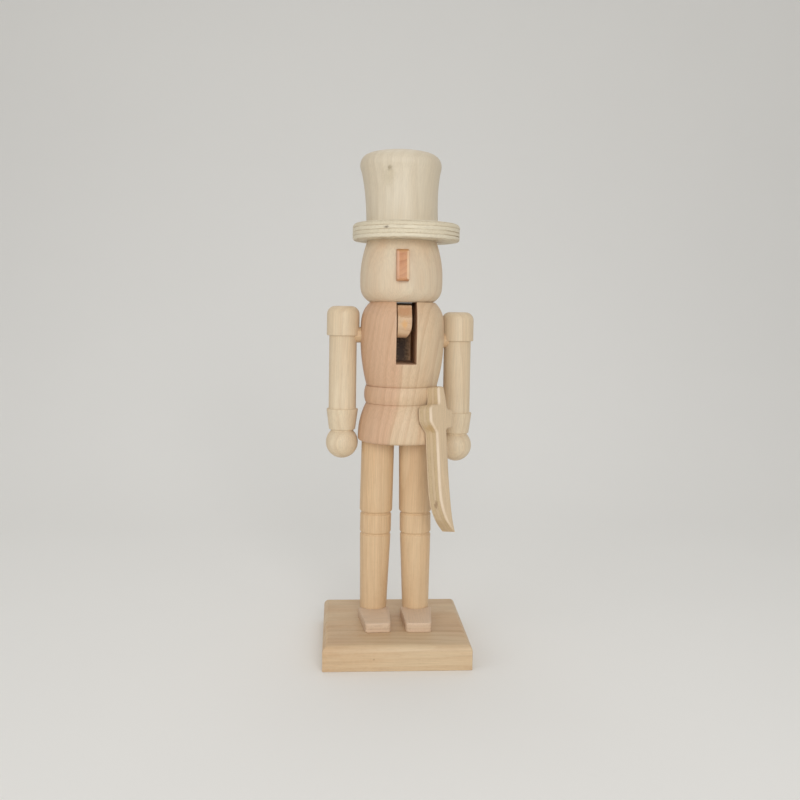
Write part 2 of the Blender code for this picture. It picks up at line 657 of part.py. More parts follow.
def build_jaw(figure, body):
    """The lever, hung on a steel pin that crosses the slot."""
    pivot = empty("jaw_pivot", (SLOT_SHIFT, PIVOT_BACK, PIVOT_Z), parent=figure)
    lever = piece("jaw_lever", lever_shape(), pivot, material=finish("jaw_lever", BASSWOOD))
    line = (0.0, PIVOT_BACK, PIVOT_Z)
    across = (0.0, math.pi / 2, 0.0)
    side = math.sqrt(radius_at(body_outline(), PIVOT_Z) ** 2 - PIVOT_BACK ** 2)
    reach = side - PIN_SETBACK
    steel = finish("jaw_pin", STEEL, STEEL_ROUGHNESS, 1.0)
    piece("jaw_pin", rod(PIN_RADIUS, -reach, reach), figure, line, across, steel)
    drilled = side + OVERRUN
    cut(body, piece("pin_hole", rod(PIN_RADIUS + DOWEL_GAP, -drilled, drilled), figure, line, across))
    cut(lever, piece("lever_hole", rod(PIN_RADIUS + RUN_GAP, -drilled, drilled), figure, line, across))


def sword_outline():
    """Outline (back, up) of the sword from its front top corner, round the point and up its back."""
    edge = -BLADE_WIDTH / 2
    spine = BLADE_WIDTH / 2
    front = edge + HILT_BEHIND
    back = front + HILT_WIDTH
    guard = -HILT_LENGTH
    guard_foot = guard - GUARD_FRONT_LENGTH
    middle = guard - GUARD_FRONT_LENGTH / 2
    point = guard_foot - BLADE_LENGTH
    half = GUARD_BACK_LENGTH / 2
    corners = [
        (front, 0.0, HILT_ROUND),
        (front, guard, HILT_ROUND),
        (edge - GUARD_FRONT, guard, GUARD_FRONT),
        (edge - GUARD_FRONT, guard_foot + GUARD_TAPER, GUARD_FRONT),
        (edge, guard_foot, HILT_ROUND),
    ]
    curve_top = guard_foot - BLADE_STRAIGHT
    tip = spine + BLADE_SWEEP
    for step in range(LONG_STEPS + 1):
        share = step / LONG_STEPS
        across = edge + (tip - edge) * share ** BLADE_POWER
        corners.append((across, curve_top + (point - curve_top) * share, 0.0))
    for step in range(1, CURVE_STEPS + 1):
        share = 1.0 - step / CURVE_STEPS
        across = spine + BLADE_SWEEP * share ** SPINE_POWER
        corners.append((across, curve_top + (point - curve_top) * share, 0.0))
    corners += [
        (spine, middle - half, HILT_ROUND),
        (spine + GUARD_BACK, middle - half, GUARD_BACK),
        (spine + GUARD_BACK, middle + half, GUARD_BACK),
        (back + HILT_SPREAD, middle + half, HILT_ROUND),
        (back, 0.0, HILT_ROUND),
    ]
    return rounded(corners, closed=True)


def build_sword(figure):
    """The sword, its flat face laid against the belt and the swell of the skirt."""
    outline = body_outline()
    belt_height = BELT_Z + BELT_HEIGHT / 2
    heights = [SKIRT_HEIGHT * step / SEAT_STEPS for step in range(1, SEAT_STEPS)]
    lean = max(math.atan2(radius_at(outline, height) - BELT_RADIUS, belt_height - height)
               for height in heights)
    away = BELT_RADIUS + SEAT_GAP / math.cos(lean)
    place = (away * math.sin(SWORD_BEARING), -away * math.cos(SWORD_BEARING), belt_height)
    seat = empty("sword_seat", place, (-lean, 0.0, SWORD_BEARING), figure)
    shape = sawn(sword_outline(), SWORD_THICK, SWORD_THICK / 2)
    turn = Matrix.Rotation(SWORD_TILT, 3, "Y") @ Matrix.Rotation(-math.pi / 2, 3, "Z")
    bmesh.ops.rotate(shape, verts=shape.verts, matrix=turn)
    top = BELT_HEIGHT / 2 + SEAT_GAP
    piece("sword", shape, seat, (SWORD_SHIFT, 0.0, top), material=finish("sword", PLYWOOD))


def main():
    """Build the nutcracker from the base up."""
    clear_scene()
    leg_lines = {}
    for side, sign in (("right", -1.0), ("left", 1.0)):
        foot = (LEGS_X + sign * LEG_SPREAD, FIGURE_Y, LEG_FOOT_Z)
        leg_lines[side] = empty(side + "_leg_line", foot, (0.0, -sign * LEG_SPLAY, 0.0))
    figure = empty("figure", (FIGURE_X, FIGURE_Y, BODY_Z))
    base = build_base()
    body = build_body(figure)
    build_leg("right", leg_lines["right"], RIGHT_FOOT_TURN, base, body)
    build_leg("left", leg_lines["left"], LEFT_FOOT_TURN, base, body)
    head = build_head(figure, body)
    build_hat(figure, head)
    build_arm("right", math.pi, 0.0, figure, body)
    build_arm("left", LEFT_ARM_BACK, LEFT_ARM_DROP, figure, body)
    build_jaw(figure, body)
    build_sword(figure)


main()
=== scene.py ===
"""Looks of an unpainted turned-wood nutcracker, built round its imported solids.

Metres, +Z up. The figure faces -Y; left and right are the figure's own, so its left side is at +X.
Each sub-assembly is a class that models its pieces, and each finish is a class that makes a material.
"""

import json
import logging
import math
from dataclasses import dataclass
from enum import Enum

import bmesh
import bpy
from bmesh.types import BMEdge, BMesh, BMVert
from bpy.types import Material, Node, NodeOutputs, NodeSocket, NodeTree, Object
from mathutils import Euler, Matrix, Vector

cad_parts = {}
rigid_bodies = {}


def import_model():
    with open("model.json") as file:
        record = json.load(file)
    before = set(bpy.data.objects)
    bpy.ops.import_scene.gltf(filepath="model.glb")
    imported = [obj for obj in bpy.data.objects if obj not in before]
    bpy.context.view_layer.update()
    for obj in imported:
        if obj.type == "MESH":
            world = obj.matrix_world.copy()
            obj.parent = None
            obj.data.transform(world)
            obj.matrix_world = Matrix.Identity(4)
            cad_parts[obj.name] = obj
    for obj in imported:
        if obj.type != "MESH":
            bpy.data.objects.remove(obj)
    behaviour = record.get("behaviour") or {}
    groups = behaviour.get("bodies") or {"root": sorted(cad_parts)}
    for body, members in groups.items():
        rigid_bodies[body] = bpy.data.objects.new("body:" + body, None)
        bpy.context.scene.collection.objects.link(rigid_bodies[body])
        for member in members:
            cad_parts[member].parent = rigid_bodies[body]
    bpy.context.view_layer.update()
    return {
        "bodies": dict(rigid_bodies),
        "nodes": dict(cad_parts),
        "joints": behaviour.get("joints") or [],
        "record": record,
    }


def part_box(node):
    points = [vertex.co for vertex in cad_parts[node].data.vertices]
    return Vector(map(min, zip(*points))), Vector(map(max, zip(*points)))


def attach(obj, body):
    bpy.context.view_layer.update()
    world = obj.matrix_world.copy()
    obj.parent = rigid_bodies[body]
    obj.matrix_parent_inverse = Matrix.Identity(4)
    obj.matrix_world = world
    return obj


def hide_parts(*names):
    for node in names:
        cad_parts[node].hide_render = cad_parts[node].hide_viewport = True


Point = tuple[float, float]
Triple = tuple[float, float, float]

LOG = logging.getLogger("nutcracker")

TURN_STEPS = 96             # round a large turned piece
BRIM_STEPS = 128
LIMB_STEPS = 64             # round an arm or a leg
DOWEL_STEPS = 32
CURVE_STEPS = 18            # along a swelling profile
CORNER_STEPS = 6            # round a corner
MERGE = 0.000001
NEAR = 9 * MERGE            # within which a point counts as being at a place
SHARP_ANGLE = math.radians(38.0)
ARRIS_ANGLE = math.radians(50.0)
ROUND_PROFILE = 0.5
SQUARE_ON = 0.99            # least part of a normal along an axis that it follows
QUARTER = math.pi / 2       # turn
HALF_WAY = math.sqrt(0.5)   # each part of a direction between two axes
LYING = Matrix.Rotation(QUARTER, 4, "Y")    # lays what stands along Z down along X

SEAT_GAP = 0.0003           # between two seated solids
GLUE_LINE = 0.00028         # that a seated piece reaches past its solid, to meet its neighbour
OVERCUT = 0.002             # that a cutting shape reaches past what it cuts
BASE_THICK = 0.0124
LEG_FOOT_RADIUS = 0.0067


class Body(Enum):
    """The bodies that pieces ride on."""

    FIGURE = "figure"
    JAW = "jaw"


class Slot(Enum):
    """The record's material slots."""

    BASSWOOD = "basswood"
    PALE_BASSWOOD = "pale_basswood"
    PLYWOOD = "plywood"
    DARK_WOOD = "dark_wood"
    BIRCH_DOWEL = "birch_dowel"
    STEEL = "steel"


class Side(Enum):
    """A side of the figure, with its sign along X."""

    RIGHT = -1.0
    LEFT = 1.0

    @property
    def label(self) -> str:
        """The word that starts the names of this side's pieces."""
        return self.name.lower()


def colour(red: int, green: int, blue: int) -> Triple:
    """The linear values, which shaders take, of a colour as a screen shows it, from 0 to 255."""
    shares = [value / 255 for value in (red, green, blue)]
    return tuple(share / 12.92 if share <= 0.04045 else ((share + 0.055) / 1.055) ** 2.4 for share in shares)


def swell(start: Point, end: Point, power: float, steps: int = CURVE_STEPS) -> list[Point]:
    """Points (radius, height) of a turned curve, whose radius changes the later the larger the power is."""
    shares = [step / steps for step in range(steps + 1)]
    return [(start[0] + (end[0] - start[0]) * share ** power, start[1] + (end[1] - start[1]) * share)
            for share in shares]


def rounded(corners: list[Triple], closed: bool = False, steps: int = CORNER_STEPS) -> list[Point]:
    """Round the corners of an outline by arcs.

    Args:
        corners: Corners (across, up, radius) in order.
        closed: Whether the last corner joins the first.
        steps: Steps in each arc.

    Returns:
        The outline's points (across, up).
    """
    points = []
    count = len(corners)
    for index, (across, up, radius) in enumerate(corners):
        is_end = not closed and index in (0, count - 1)
        if radius == 0.0 or is_end:
            points.append((across, up))
            continue
        here = Vector((across, up))
        others = corners[index - 1], corners[(index + 1) % count]
        before, after = (Vector(other[:2]) - here for other in others)
        half = before.angle(after) / 2
        room = [way.length / 2 if other[2] else way.length for way, other in zip((before, after), others)]
        reach = min(radius / math.tan(half), *room)
        middle = here + (before.normalized() + after.normalized()).normalized() * (reach / math.cos(half))
        start = here + before.normalized() * reach - middle
        turn = start.angle_signed(here + after.normalized() * reach - middle)
        for step in range(steps + 1):
            points.append(tuple(middle + Matrix.Rotation(-turn * step / steps, 2) @ start))
    return points


def turned(profile: list[Point], steps: int = TURN_STEPS) -> BMesh:
    """Spin a profile round the Z axis.

    Args:
        profile: Points (radius, height); both ends lie on the axis.
        steps: Steps round the axis.

    Returns:
        The closed turned shape.
    """
    shape = bmesh.new()
    verts = [shape.verts.new((radius, 0.0, height)) for radius, height in profile]
    edges = [shape.edges.new(pair) for pair in zip(verts, verts[1:])]
    bmesh.ops.spin(shape, geom=verts + edges, axis=(0.0, 0.0, 1.0), cent=(0.0, 0.0, 0.0),
                   angle=math.tau, steps=steps, use_merge=True)
    close(shape)
    return shape


def rod(radius: float, foot: float, top: float, edge: float = 0.0) -> BMesh:
    """A round rod along Z between two heights, with its ends eased."""
    corners = [(0.0, top, 0.0), (radius, top, edge), (radius, foot, edge), (0.0, foot, 0.0)]
    return turned(rounded(corners), DOWEL_STEPS)


def sawn(outline: list[Point], low: float, high: float) -> BMesh:
    """Extrude an outline along X, as a piece is sawn out of a board.

    Args:
        outline: Points (Y, Z) in order.
        low: Where the board starts along X.
        high: Where the board ends along X.

    Returns:
        The sawn shape.
    """
    shape = bmesh.new()
    face = shape.faces.new([shape.verts.new((low, across, up)) for across, up in outline])
    grown = bmesh.ops.extrude_face_region(shape, geom=[face])
    moved = [item for item in grown["geom"] if isinstance(item, BMVert)]
    bmesh.ops.translate(shape, verts=moved, vec=(high - low, 0.0, 0.0))
    close(shape)
    return shape


def sanded(outline: list[Point], levels: list[Point], fade: float) -> BMesh:
    """Saw a board out along an outline and round its arrises over.

    Args:
        outline: Points (Y, Z) in order, with the board to the left of them.
        levels: Places along X, from face to face, and how far the outline is drawn in there.
        fade: Height above the lowest point at which it is drawn in so far.

    Returns:
        The board.
    """
    ring = [Vector(point) for point in outline]
    ring = [here for last, here in zip(ring[-1:] + ring, ring) if (here - last).length > MERGE]
    lowest = min(here.y for here in ring)
    inward = []
    for last, here, following in zip(ring[-1:] + ring, ring, ring[1:] + ring[:1]):
        before, after = (here - last).normalized(), (following - here).normalized()
        way = (before + after).normalized().orthogonal()
        share = min((here.y - lowest) / fade, 1.0)
        inward.append(way * share / way.dot(before.orthogonal()))
    shape = bmesh.new()
    loops = [[shape.verts.new((across, *(here + way * inset))) for here, way in zip(ring, inward)]
             for across, inset in levels]
    for lower, upper in zip(loops, loops[1:]):
        for index in range(len(ring)):
            shape.faces.new((lower[index - 1], lower[index], upper[index], upper[index - 1]))
    shape.faces.new(loops[0])
    shape.faces.new(loops[-1])
    close(shape)
    return shape


def block(low: Triple, high: Triple) -> BMesh:
    """A box between its lowest and its highest corner."""
    outline = [(low[1], low[2]), (high[1], low[2]), (high[1], high[2]), (low[1], high[2])]
    return sawn(outline, low[0], high[0])


def close(shape: BMesh) -> None:
    """Merge a shape's doubled points and turn its faces outwards."""
    bmesh.ops.remove_doubles(shape, verts=shape.verts, dist=MERGE)
    bmesh.ops.recalc_face_normals(shape, faces=shape.faces)


def ease(shape: BMesh, edges: list[BMEdge], width: float, steps: int = 3, clamp: bool = True) -> None:
    """Round edges of a shape over by a width, which short edges hold back if it is clamped."""
    bmesh.ops.bevel(shape, geom=edges, offset=width, segments=steps, profile=ROUND_PROFILE,
                    affect="EDGES", material=-1, clamp_overlap=clamp)


def arrises(shape: BMesh) -> list[BMEdge]:
    """The edges of a shape at which two faces meet sharply."""
    return [edge for edge in shape.edges
            if len(edge.link_faces) == 2 and edge.calc_face_angle() > ARRIS_ANGLE]


def as_object(name: str, shape: BMesh, place: Matrix) -> Object:
    """Turn a shape into an object at the origin with its place in its mesh.

    Args:
        name: Name of the piece.
        shape: Its shape, which is used up.
        place: Where the shape's own frame lies.

    Returns:
        The object.
    """
    bmesh.ops.transform(shape, verts=shape.verts, matrix=place)
    close(shape)
    mesh = bpy.data.meshes.new(name)
    shape.to_mesh(mesh)
    shape.free()
    item = bpy.data.objects.new(name, mesh)
    bpy.context.scene.collection.objects.link(item)
    return item


def carve(piece: Object, shape: BMesh, place: Matrix) -> None:
    """Cut a shape out of a piece for good.

    Args:
        piece: The piece to cut.
        shape: The cutting shape, which is used up.
        place: Where the cutting shape's own frame lies.
    """
    tool = as_object("cutting_tool", shape, place)
    cut = piece.modifiers.new("cut", "BOOLEAN")
    cut.operation = "DIFFERENCE"
    cut.solver = "EXACT"
    cut.object = tool
    spent = (piece.data, tool.data)
    graph = bpy.context.evaluated_depsgraph_get()
    piece_cut = bpy.data.meshes.new_from_object(piece.evaluated_get(graph))
    piece.modifiers.clear()
    piece.data = piece_cut
    bpy.data.objects.remove(tool)
    for mesh in spent:
        bpy.data.meshes.remove(mesh)
    piece_cut.name = piece.name


def log_at(place: Matrix, pith: Triple, lean: Triple = (0.0, 0.0, 0.0)) -> Matrix:
    """The frame of the log that a piece came from, by its pith's place and turn in the piece's frame."""
    return place @ Matrix.Translation(pith) @ Euler(lean).to_matrix().to_4x4()


class Graph:
    """A node tree under construction, with short ways to add and join nodes."""

    def __init__(self, tree: NodeTree) -> None:
        """Keep the tree that nodes are added to."""
        self.tree = tree

    def feed(self, target: NodeSocket, source: object) -> None:
        """Give a socket a link or a value.

        Args:
            target: The input socket.
            source: An output socket, a number, a vector or a linear colour.
        """
        if isinstance(source, NodeSocket):
            self.tree.links.new(source, target)
        else:
            target.default_value = (*source, 1.0) if target.type == "RGBA" else source

    def add(self, kind: str, values: dict[str | int, object] | None = None, **settings: object) -> Node:
        """Add a node.

        Args:
            kind: Type name of the node.
            values: What its inputs take, by name or number.
            settings: Properties to set on it.

        Returns:
            The node.
        """
        node = self.tree.nodes.new(kind)
        for name, value in settings.items():
            setattr(node, name, value)
        for socket, value in (values or {}).items():
            self.feed(node.inputs[socket], value)
        return node

    def math(self, operation: str, *values: object) -> NodeSocket:
        """Calculate with numbers."""
        return self.add("ShaderNodeMath", dict(enumerate(values)), operation=operation).outputs[0]

    def vector(self, operation: str, *values: object) -> NodeSocket:
        """Calculate a vector from vectors."""
        node = self.add("ShaderNodeVectorMath", dict(enumerate(values)), operation=operation)
        return node.outputs["Vector"]

    def measure(self, operation: str, *values: object) -> NodeSocket:
        """Calculate a number from vectors."""
        node = self.add("ShaderNodeVectorMath", dict(enumerate(values)), operation=operation)
        return node.outputs["Value"]

    def stretch(self, vector: object, scale: Triple) -> NodeSocket:
        """Scale a vector along each axis."""
        return self.vector("MULTIPLY", vector, scale)

    def band(self, value: object, low: object, high: object, bottom: float = 0.0,
             top: float = 1.0) -> NodeSocket:
        """Ease a value from a bottom level at one limit to a top level at another."""
        values = {"Value": value, "From Min": low, "From Max": high, "To Min": bottom, "To Max": top}
        return self.add("ShaderNodeMapRange", values, interpolation_type="SMOOTHSTEP").outputs["Result"]

    def mix(self, share: object, first: object, second: object) -> NodeSocket:
        """Mix a share of a second colour into a first."""
        return self.add("ShaderNodeMix", {0: share, 6: first, 7: second}, data_type="RGBA").outputs[2]

    def noise(self, vector: object, scale: float, detail: float = 2.0, roughness: float = 0.5) -> NodeSocket:
        """Sample a smooth noise about one half, with finer layers."""
        values = {"Vector": vector, "Scale": scale, "Detail": detail, "Roughness": roughness}
        return self.add("ShaderNodeTexNoise", values).outputs["Fac"]

    def chance(self, number: object) -> NodeSocket:
        """A value from 0 to 1 that differs from number to number."""
        return self.add("ShaderNodeTexWhiteNoise", {"W": number}, noise_dimensions="1D").outputs["Value"]

    def group(self, tree: NodeTree, **values: object) -> NodeOutputs:
        """Place a node group, whose inputs are named with _ for a space."""
        inputs = {name.replace("_", " "): value for name, value in values.items()}
        return self.add("ShaderNodeGroup", inputs, node_tree=tree).outputs


class Groups:
    """The node groups that finishes share, each built once."""

    def __init__(self) -> None:
        """Build every group."""
        self.timber = self.make_timber()
        self.plies = self.make_plies()
        self.tooling = self.make_tooling()
        self.handling = self.make_edge_light_and_hollow_shade()
        self.blemish = self.make_mark_or_shade_patch()

    @staticmethod
    def start(name: str, inputs: dict[str, str], outputs: tuple[str, ...]) -> tuple[Graph, dict, dict]:
        """Start a group with its sockets.

        Args:
            name: Name of the group.
            inputs: Socket type by input name.
            outputs: Names of its outputs, which are numbers.

        Returns:
            The graph, the inputs inside it by name and the sockets that its outputs take.
        """
        tree = bpy.data.node_groups.new(name, "ShaderNodeTree")
        for label, kind in inputs.items():
            tree.interface.new_socket(label, in_out="INPUT", socket_type="NodeSocket" + kind)
        for label in outputs:
            tree.interface.new_socket(label, in_out="OUTPUT", socket_type="NodeSocketFloat")
        graph = Graph(tree)
        sources = graph.add("NodeGroupInput").outputs
        targets = graph.add("NodeGroupOutput").inputs
        given = {label: sources[label] for label in inputs}
        return graph, given, {label: targets[label] for label in outputs}

    def make_timber(self) -> NodeTree:
        """Growth rings, heartwood, fibres and pores of a log whose pith lies along Z.

        Returns:
            The group.
        """
        graph, given, out = self.start(
            "timber",
            {"Vector": "Vector", "Ring Width": "Float", "Heart Radius": "Float", "Heart Edge": "Float"},
            ("Rings", "Heart", "Fibre", "Pores", "Drift"))
        here = given["Vector"]
        slow = graph.noise(graph.stretch(here, (1.0, 1.0, 0.22)), 38.0, 3.0)
        fine = graph.noise(graph.stretch(here, (1.0, 1.0, 0.05)), 420.0)
        wander = graph.math("MULTIPLY_ADD", graph.math("SUBTRACT", slow, 0.5), 0.011,
                            graph.math("MULTIPLY", graph.math("SUBTRACT", fine, 0.5), 0.0011))
        depth = graph.math("ADD", graph.measure("LENGTH", graph.stretch(here, (1.0, 1.0, 0.0))), wander)
        count = graph.math("DIVIDE", depth, given["Ring Width"])
        phase = graph.math("FRACT", count)
        late = graph.math("MULTIPLY", graph.band(phase, 0.25, 0.93), graph.band(phase, 0.93, 1.0, 1.0, 0.0))
        strength = graph.math("MULTIPLY_ADD", graph.chance(graph.math("FLOOR", count)), 0.75, 0.25)
        graph.feed(out["Rings"], graph.math("MULTIPLY", late, strength))
        edge = graph.math("SUBTRACT", given["Heart Radius"], depth)
        graph.feed(out["Heart"], graph.band(graph.math("DIVIDE", edge, given["Heart Edge"]), -0.5, 0.5))
        graph.feed(out["Fibre"], graph.noise(graph.stretch(here, (1.0, 1.0, 0.022)), 2300.0, 3.0, 0.6))
        dashes = graph.noise(graph.stretch(here, (1.0, 1.0, 0.07)), 5200.0, 1.0)
        graph.feed(out["Pores"], graph.band(dashes, 0.64, 0.75))
        clouds = graph.noise(graph.stretch(here, (1.0, 1.0, 0.35)), 62.0, 4.0)
        graph.feed(out["Drift"], graph.band(clouds, 0.3, 0.7))
        return graph.tree

    def make_plies(self) -> NodeTree:
        """Layers of plywood stacked along Z, with their glue lines and crossed grain.

        Returns:
            The group.
        """
        graph, given, out = self.start(
            "plies", {"Vector": "Vector", "Layer": "Float", "Glue": "Float", "Wave": "Float"},
            ("Crossed", "Glue Line", "Tone", "Fibre", "Pores", "Height"))
        here = given["Vector"]
        bend = graph.math("SUBTRACT", graph.noise(here, 95.0, 3.0), 0.5)
        height = graph.add("ShaderNodeSeparateXYZ", {0: here}).outputs["Z"]
        count = graph.math("DIVIDE", graph.math("MULTIPLY_ADD", bend, given["Wave"], height), given["Layer"])
        phase = graph.math("FRACT", count)
        layer = graph.math("FLOOR", count)
        crossed = graph.math("MODULO", graph.math("ABSOLUTE", layer), 2.0)
        graph.feed(out["Crossed"], crossed)
        near = graph.math("MULTIPLY", graph.math("MINIMUM", phase, graph.math("SUBTRACT", 1.0, phase)),
                          given["Layer"])
        blotches = graph.noise(graph.stretch(here, (1.0, 1.0, 2.0)), 240.0, 3.0)
        patchy = graph.band(blotches, 0.36, 0.6, 0.25, 1.0)
        line = graph.math("MULTIPLY", graph.band(near, 0.0, given["Glue"], 1.0, 0.0), patchy)
        graph.feed(out["Glue Line"], line)
        graph.feed(out["Tone"], graph.chance(layer))
        along = graph.noise(graph.stretch(here, (0.03, 1.0, 1.0)), 2100.0, 3.0, 0.6)
        across = graph.noise(graph.stretch(here, (1.0, 0.03, 1.0)), 2100.0, 3.0, 0.6)
        fibre = graph.math("ADD", graph.math("MULTIPLY", across, crossed),
                           graph.math("MULTIPLY", along, graph.math("SUBTRACT", 1.0, crossed)))
        graph.feed(out["Fibre"], fibre)
        pores = graph.band(graph.noise(graph.stretch(here, (0.5, 0.5, 1.0)), 3600.0, 1.0), 0.6, 0.72)
        graph.feed(out["Pores"], pores)
        high = graph.math("SUBTRACT", graph.math("MULTIPLY", fibre, 0.5), line)
        graph.feed(out["Height"], graph.math("MULTIPLY_ADD", pores, -0.35, high))
        return graph.tree

    def make_tooling(self) -> NodeTree:
        """Fine rings that the chisel and the sandpaper leave round a piece turned about Z.

        Returns:
            The group.
        """
        graph, given, out = self.start("tooling", {"Vector": "Vector"}, ("Height", "Sheen"))
        here = given["Vector"]
        rings = graph.noise(graph.stretch(here, (0.02, 0.02, 1.0)), 2600.0, 4.0, 0.65)
        patches = graph.band(graph.noise(here, 75.0), 0.35, 0.7)
        graph.feed(out["Height"], graph.math("MULTIPLY", rings, patches))
        graph.feed(out["Sheen"], graph.noise(graph.stretch(here, (0.15, 0.15, 1.0)), 700.0, 3.0))
        return graph.tree

    def make_edge_light_and_hollow_shade(self) -> NodeTree:
        """Paler sharp edges and darker hollows, found by pointiness: worn edges with a painted edge
        highlight, and dust with painted shade in the corners.

        Returns:
            The group.
        """
        graph, given, out = self.start("handling", {"Vector": "Vector"}, ("Edge", "Corner"))
        point = graph.add("ShaderNodeNewGeometry").outputs["Pointiness"]
        broken = graph.noise(given["Vector"], 420.0, 4.0, 0.6)
        # Paler sharp edges are wear and painted highlight; darker hollows are dust and painted shade.
        graph.feed(out["Edge"], graph.math("MULTIPLY", graph.band(point, 0.51, 0.57),
                                           graph.band(broken, 0.3, 0.62)))
        graph.feed(out["Corner"], graph.math("MULTIPLY", graph.band(point, 0.49, 0.42),
                                             graph.band(broken, 0.25, 0.6)))
        return graph.tree

    def make_mark_or_shade_patch(self) -> NodeTree:
        """A small patch at one place, with a ragged edge: a knot, a mark or painted shade.

        Returns:
            The group.
        """
        graph, given, out = self.start(
            "blemish", {"Vector": "Vector", "Centre": "Vector", "Spread": "Vector"}, ("Mask",))
        offset = graph.vector("SUBTRACT", given["Vector"], given["Centre"])
        away = graph.vector("DIVIDE", offset, given["Spread"])
        ragged = graph.math("SUBTRACT", graph.noise(given["Vector"], 900.0, 3.0), 0.5)
        reach = graph.math("MULTIPLY_ADD", ragged, 1.1, graph.measure("LENGTH", away))
        graph.feed(out["Mask"], graph.band(reach, 0.25, 1.0, 1.0, 0.0))
        return graph.tree


class Skin(Graph):
    """A material under construction, with the colour that it has so far."""

    def __init__(self, name: str, groups: Groups) -> None:
        """Start the material with its shader and with the place on the piece.

        Args:
            name: Name of the material.
            groups: The shared node groups.
        """
        self.material = bpy.data.materials.new(name)
        self.material.use_nodes = True
        super().__init__(self.material.node_tree)
        self.groups = groups
        self.inputs = self.tree.nodes["Principled BSDF"].inputs
        self.here = self.add("ShaderNodeTexCoord").outputs["Object"]
        self.paint: object = (1.0, 1.0, 1.0)

    def placed(self, frame: Matrix) -> NodeSocket:
        """The place on the piece, as it lies in a frame."""
        values = {"Location": frame.inverted().translation, "Rotation": frame.inverted().to_euler()}
        return self.add("ShaderNodeMapping", {"Vector": self.here, **values}).outputs["Vector"]

    def tint(self, mask: object, strength: float, tint: Triple) -> None:
        """Let a tint show in the paint where a mask is, at a strength."""
        self.paint = self.mix(self.math("MULTIPLY", mask, strength), self.paint, tint)

    def streak(self, fibre: object, dark: float, light: float) -> None:
        """Darken and lighten the paint along its fibres."""
        values = {0: self.paint, "Scale": self.band(fibre, 0.3, 0.7, dark, light)}
        self.paint = self.add("ShaderNodeVectorMath", values, operation="SCALE").outputs["Vector"]

    def vary(self, share: object, middle: float, spread: float) -> NodeSocket:
        """A value that a share from 0 to 1 varies about its middle."""
        return self.math("MULTIPLY_ADD", share, spread, middle - spread / 2)

    def raise_by(self, height: object, strength: float, distance: float) -> None:
        """Let a height, whose unit has a real distance, stand out of the surface."""
        values = {"Height": height, "Strength": strength, "Distance": distance}
        self.feed(self.inputs["Normal"], self.add("ShaderNodeBump", values).outputs["Normal"])


@dataclass(frozen=True)
class MarkOrPaintedShade:
    """A knot, a mark or a patch of painted shade: where it is, how far it spreads, its tint and how strongly
    it shows.
    """

    centre: Triple
    spread: Triple
    tint: Triple
    strength: float

    def mask(self, skin: Skin) -> NodeSocket:
        """Where the knot, mark or painted shade shows on a piece."""
        blemish = skin.groups.blemish
        return skin.group(blemish, Vector=skin.here, Centre=self.centre, Spread=self.spread)["Mask"]


@dataclass(frozen=True)
class PaintedFacingLight:
    """Painted light on the surfaces of a piece that face one way: where they face, the cosines to that at
    which it starts and is full, its tint.
    """

    facing: Triple
    starts: float
    full: float
    tint: Triple
    strength: float

    def mask(self, skin: Skin) -> NodeSocket:
        """Where the painted light shows on a piece.

        Args:
            skin: The piece's material.

        Returns:
            The mask, a little patchy.
        """
        facing = skin.measure("DOT_PRODUCT", skin.add("ShaderNodeTexCoord").outputs["Normal"], self.facing)
        patchy = skin.band(skin.noise(skin.here, 160.0, 3.0), 0.3, 0.6, 0.7, 1.0)
        return skin.math("MULTIPLY", patchy, skin.band(facing, self.starts, self.full))


MarksAndPaintedLight = tuple[MarkOrPaintedShade | PaintedFacingLight, ...]


@dataclass(frozen=True)
class Finish:
    """A finish, with the record's slot for it."""

    slot: Slot

    def cover(self, skin: Skin, grain: NodeSocket) -> None:
        """Lay the finish on a material, by the place in the log or the sheet."""
        raise NotImplementedError

    def dress(self, name: str, groups: Groups, frame: Matrix, marks_and_painted_light: MarksAndPaintedLight = ()) -> Material:
        """Make the material of one piece.

        Args:
            name: Name of the material.
            groups: The shared node groups.
            frame: Frame of the log, with its pith along Z, or of the sheet, with its layers along Z.
            marks_and_painted_light: Knots, stains, painted highlights and painted shade on the piece.

        Returns:
            The material.
        """
        skin = Skin(name, groups)
        self.cover(skin, skin.placed(frame))
        for mark in marks_and_painted_light:
            skin.tint(mark.mask(skin), mark.strength, mark.tint)
        skin.feed(skin.inputs["Base Color"], skin.paint)
        return skin.material


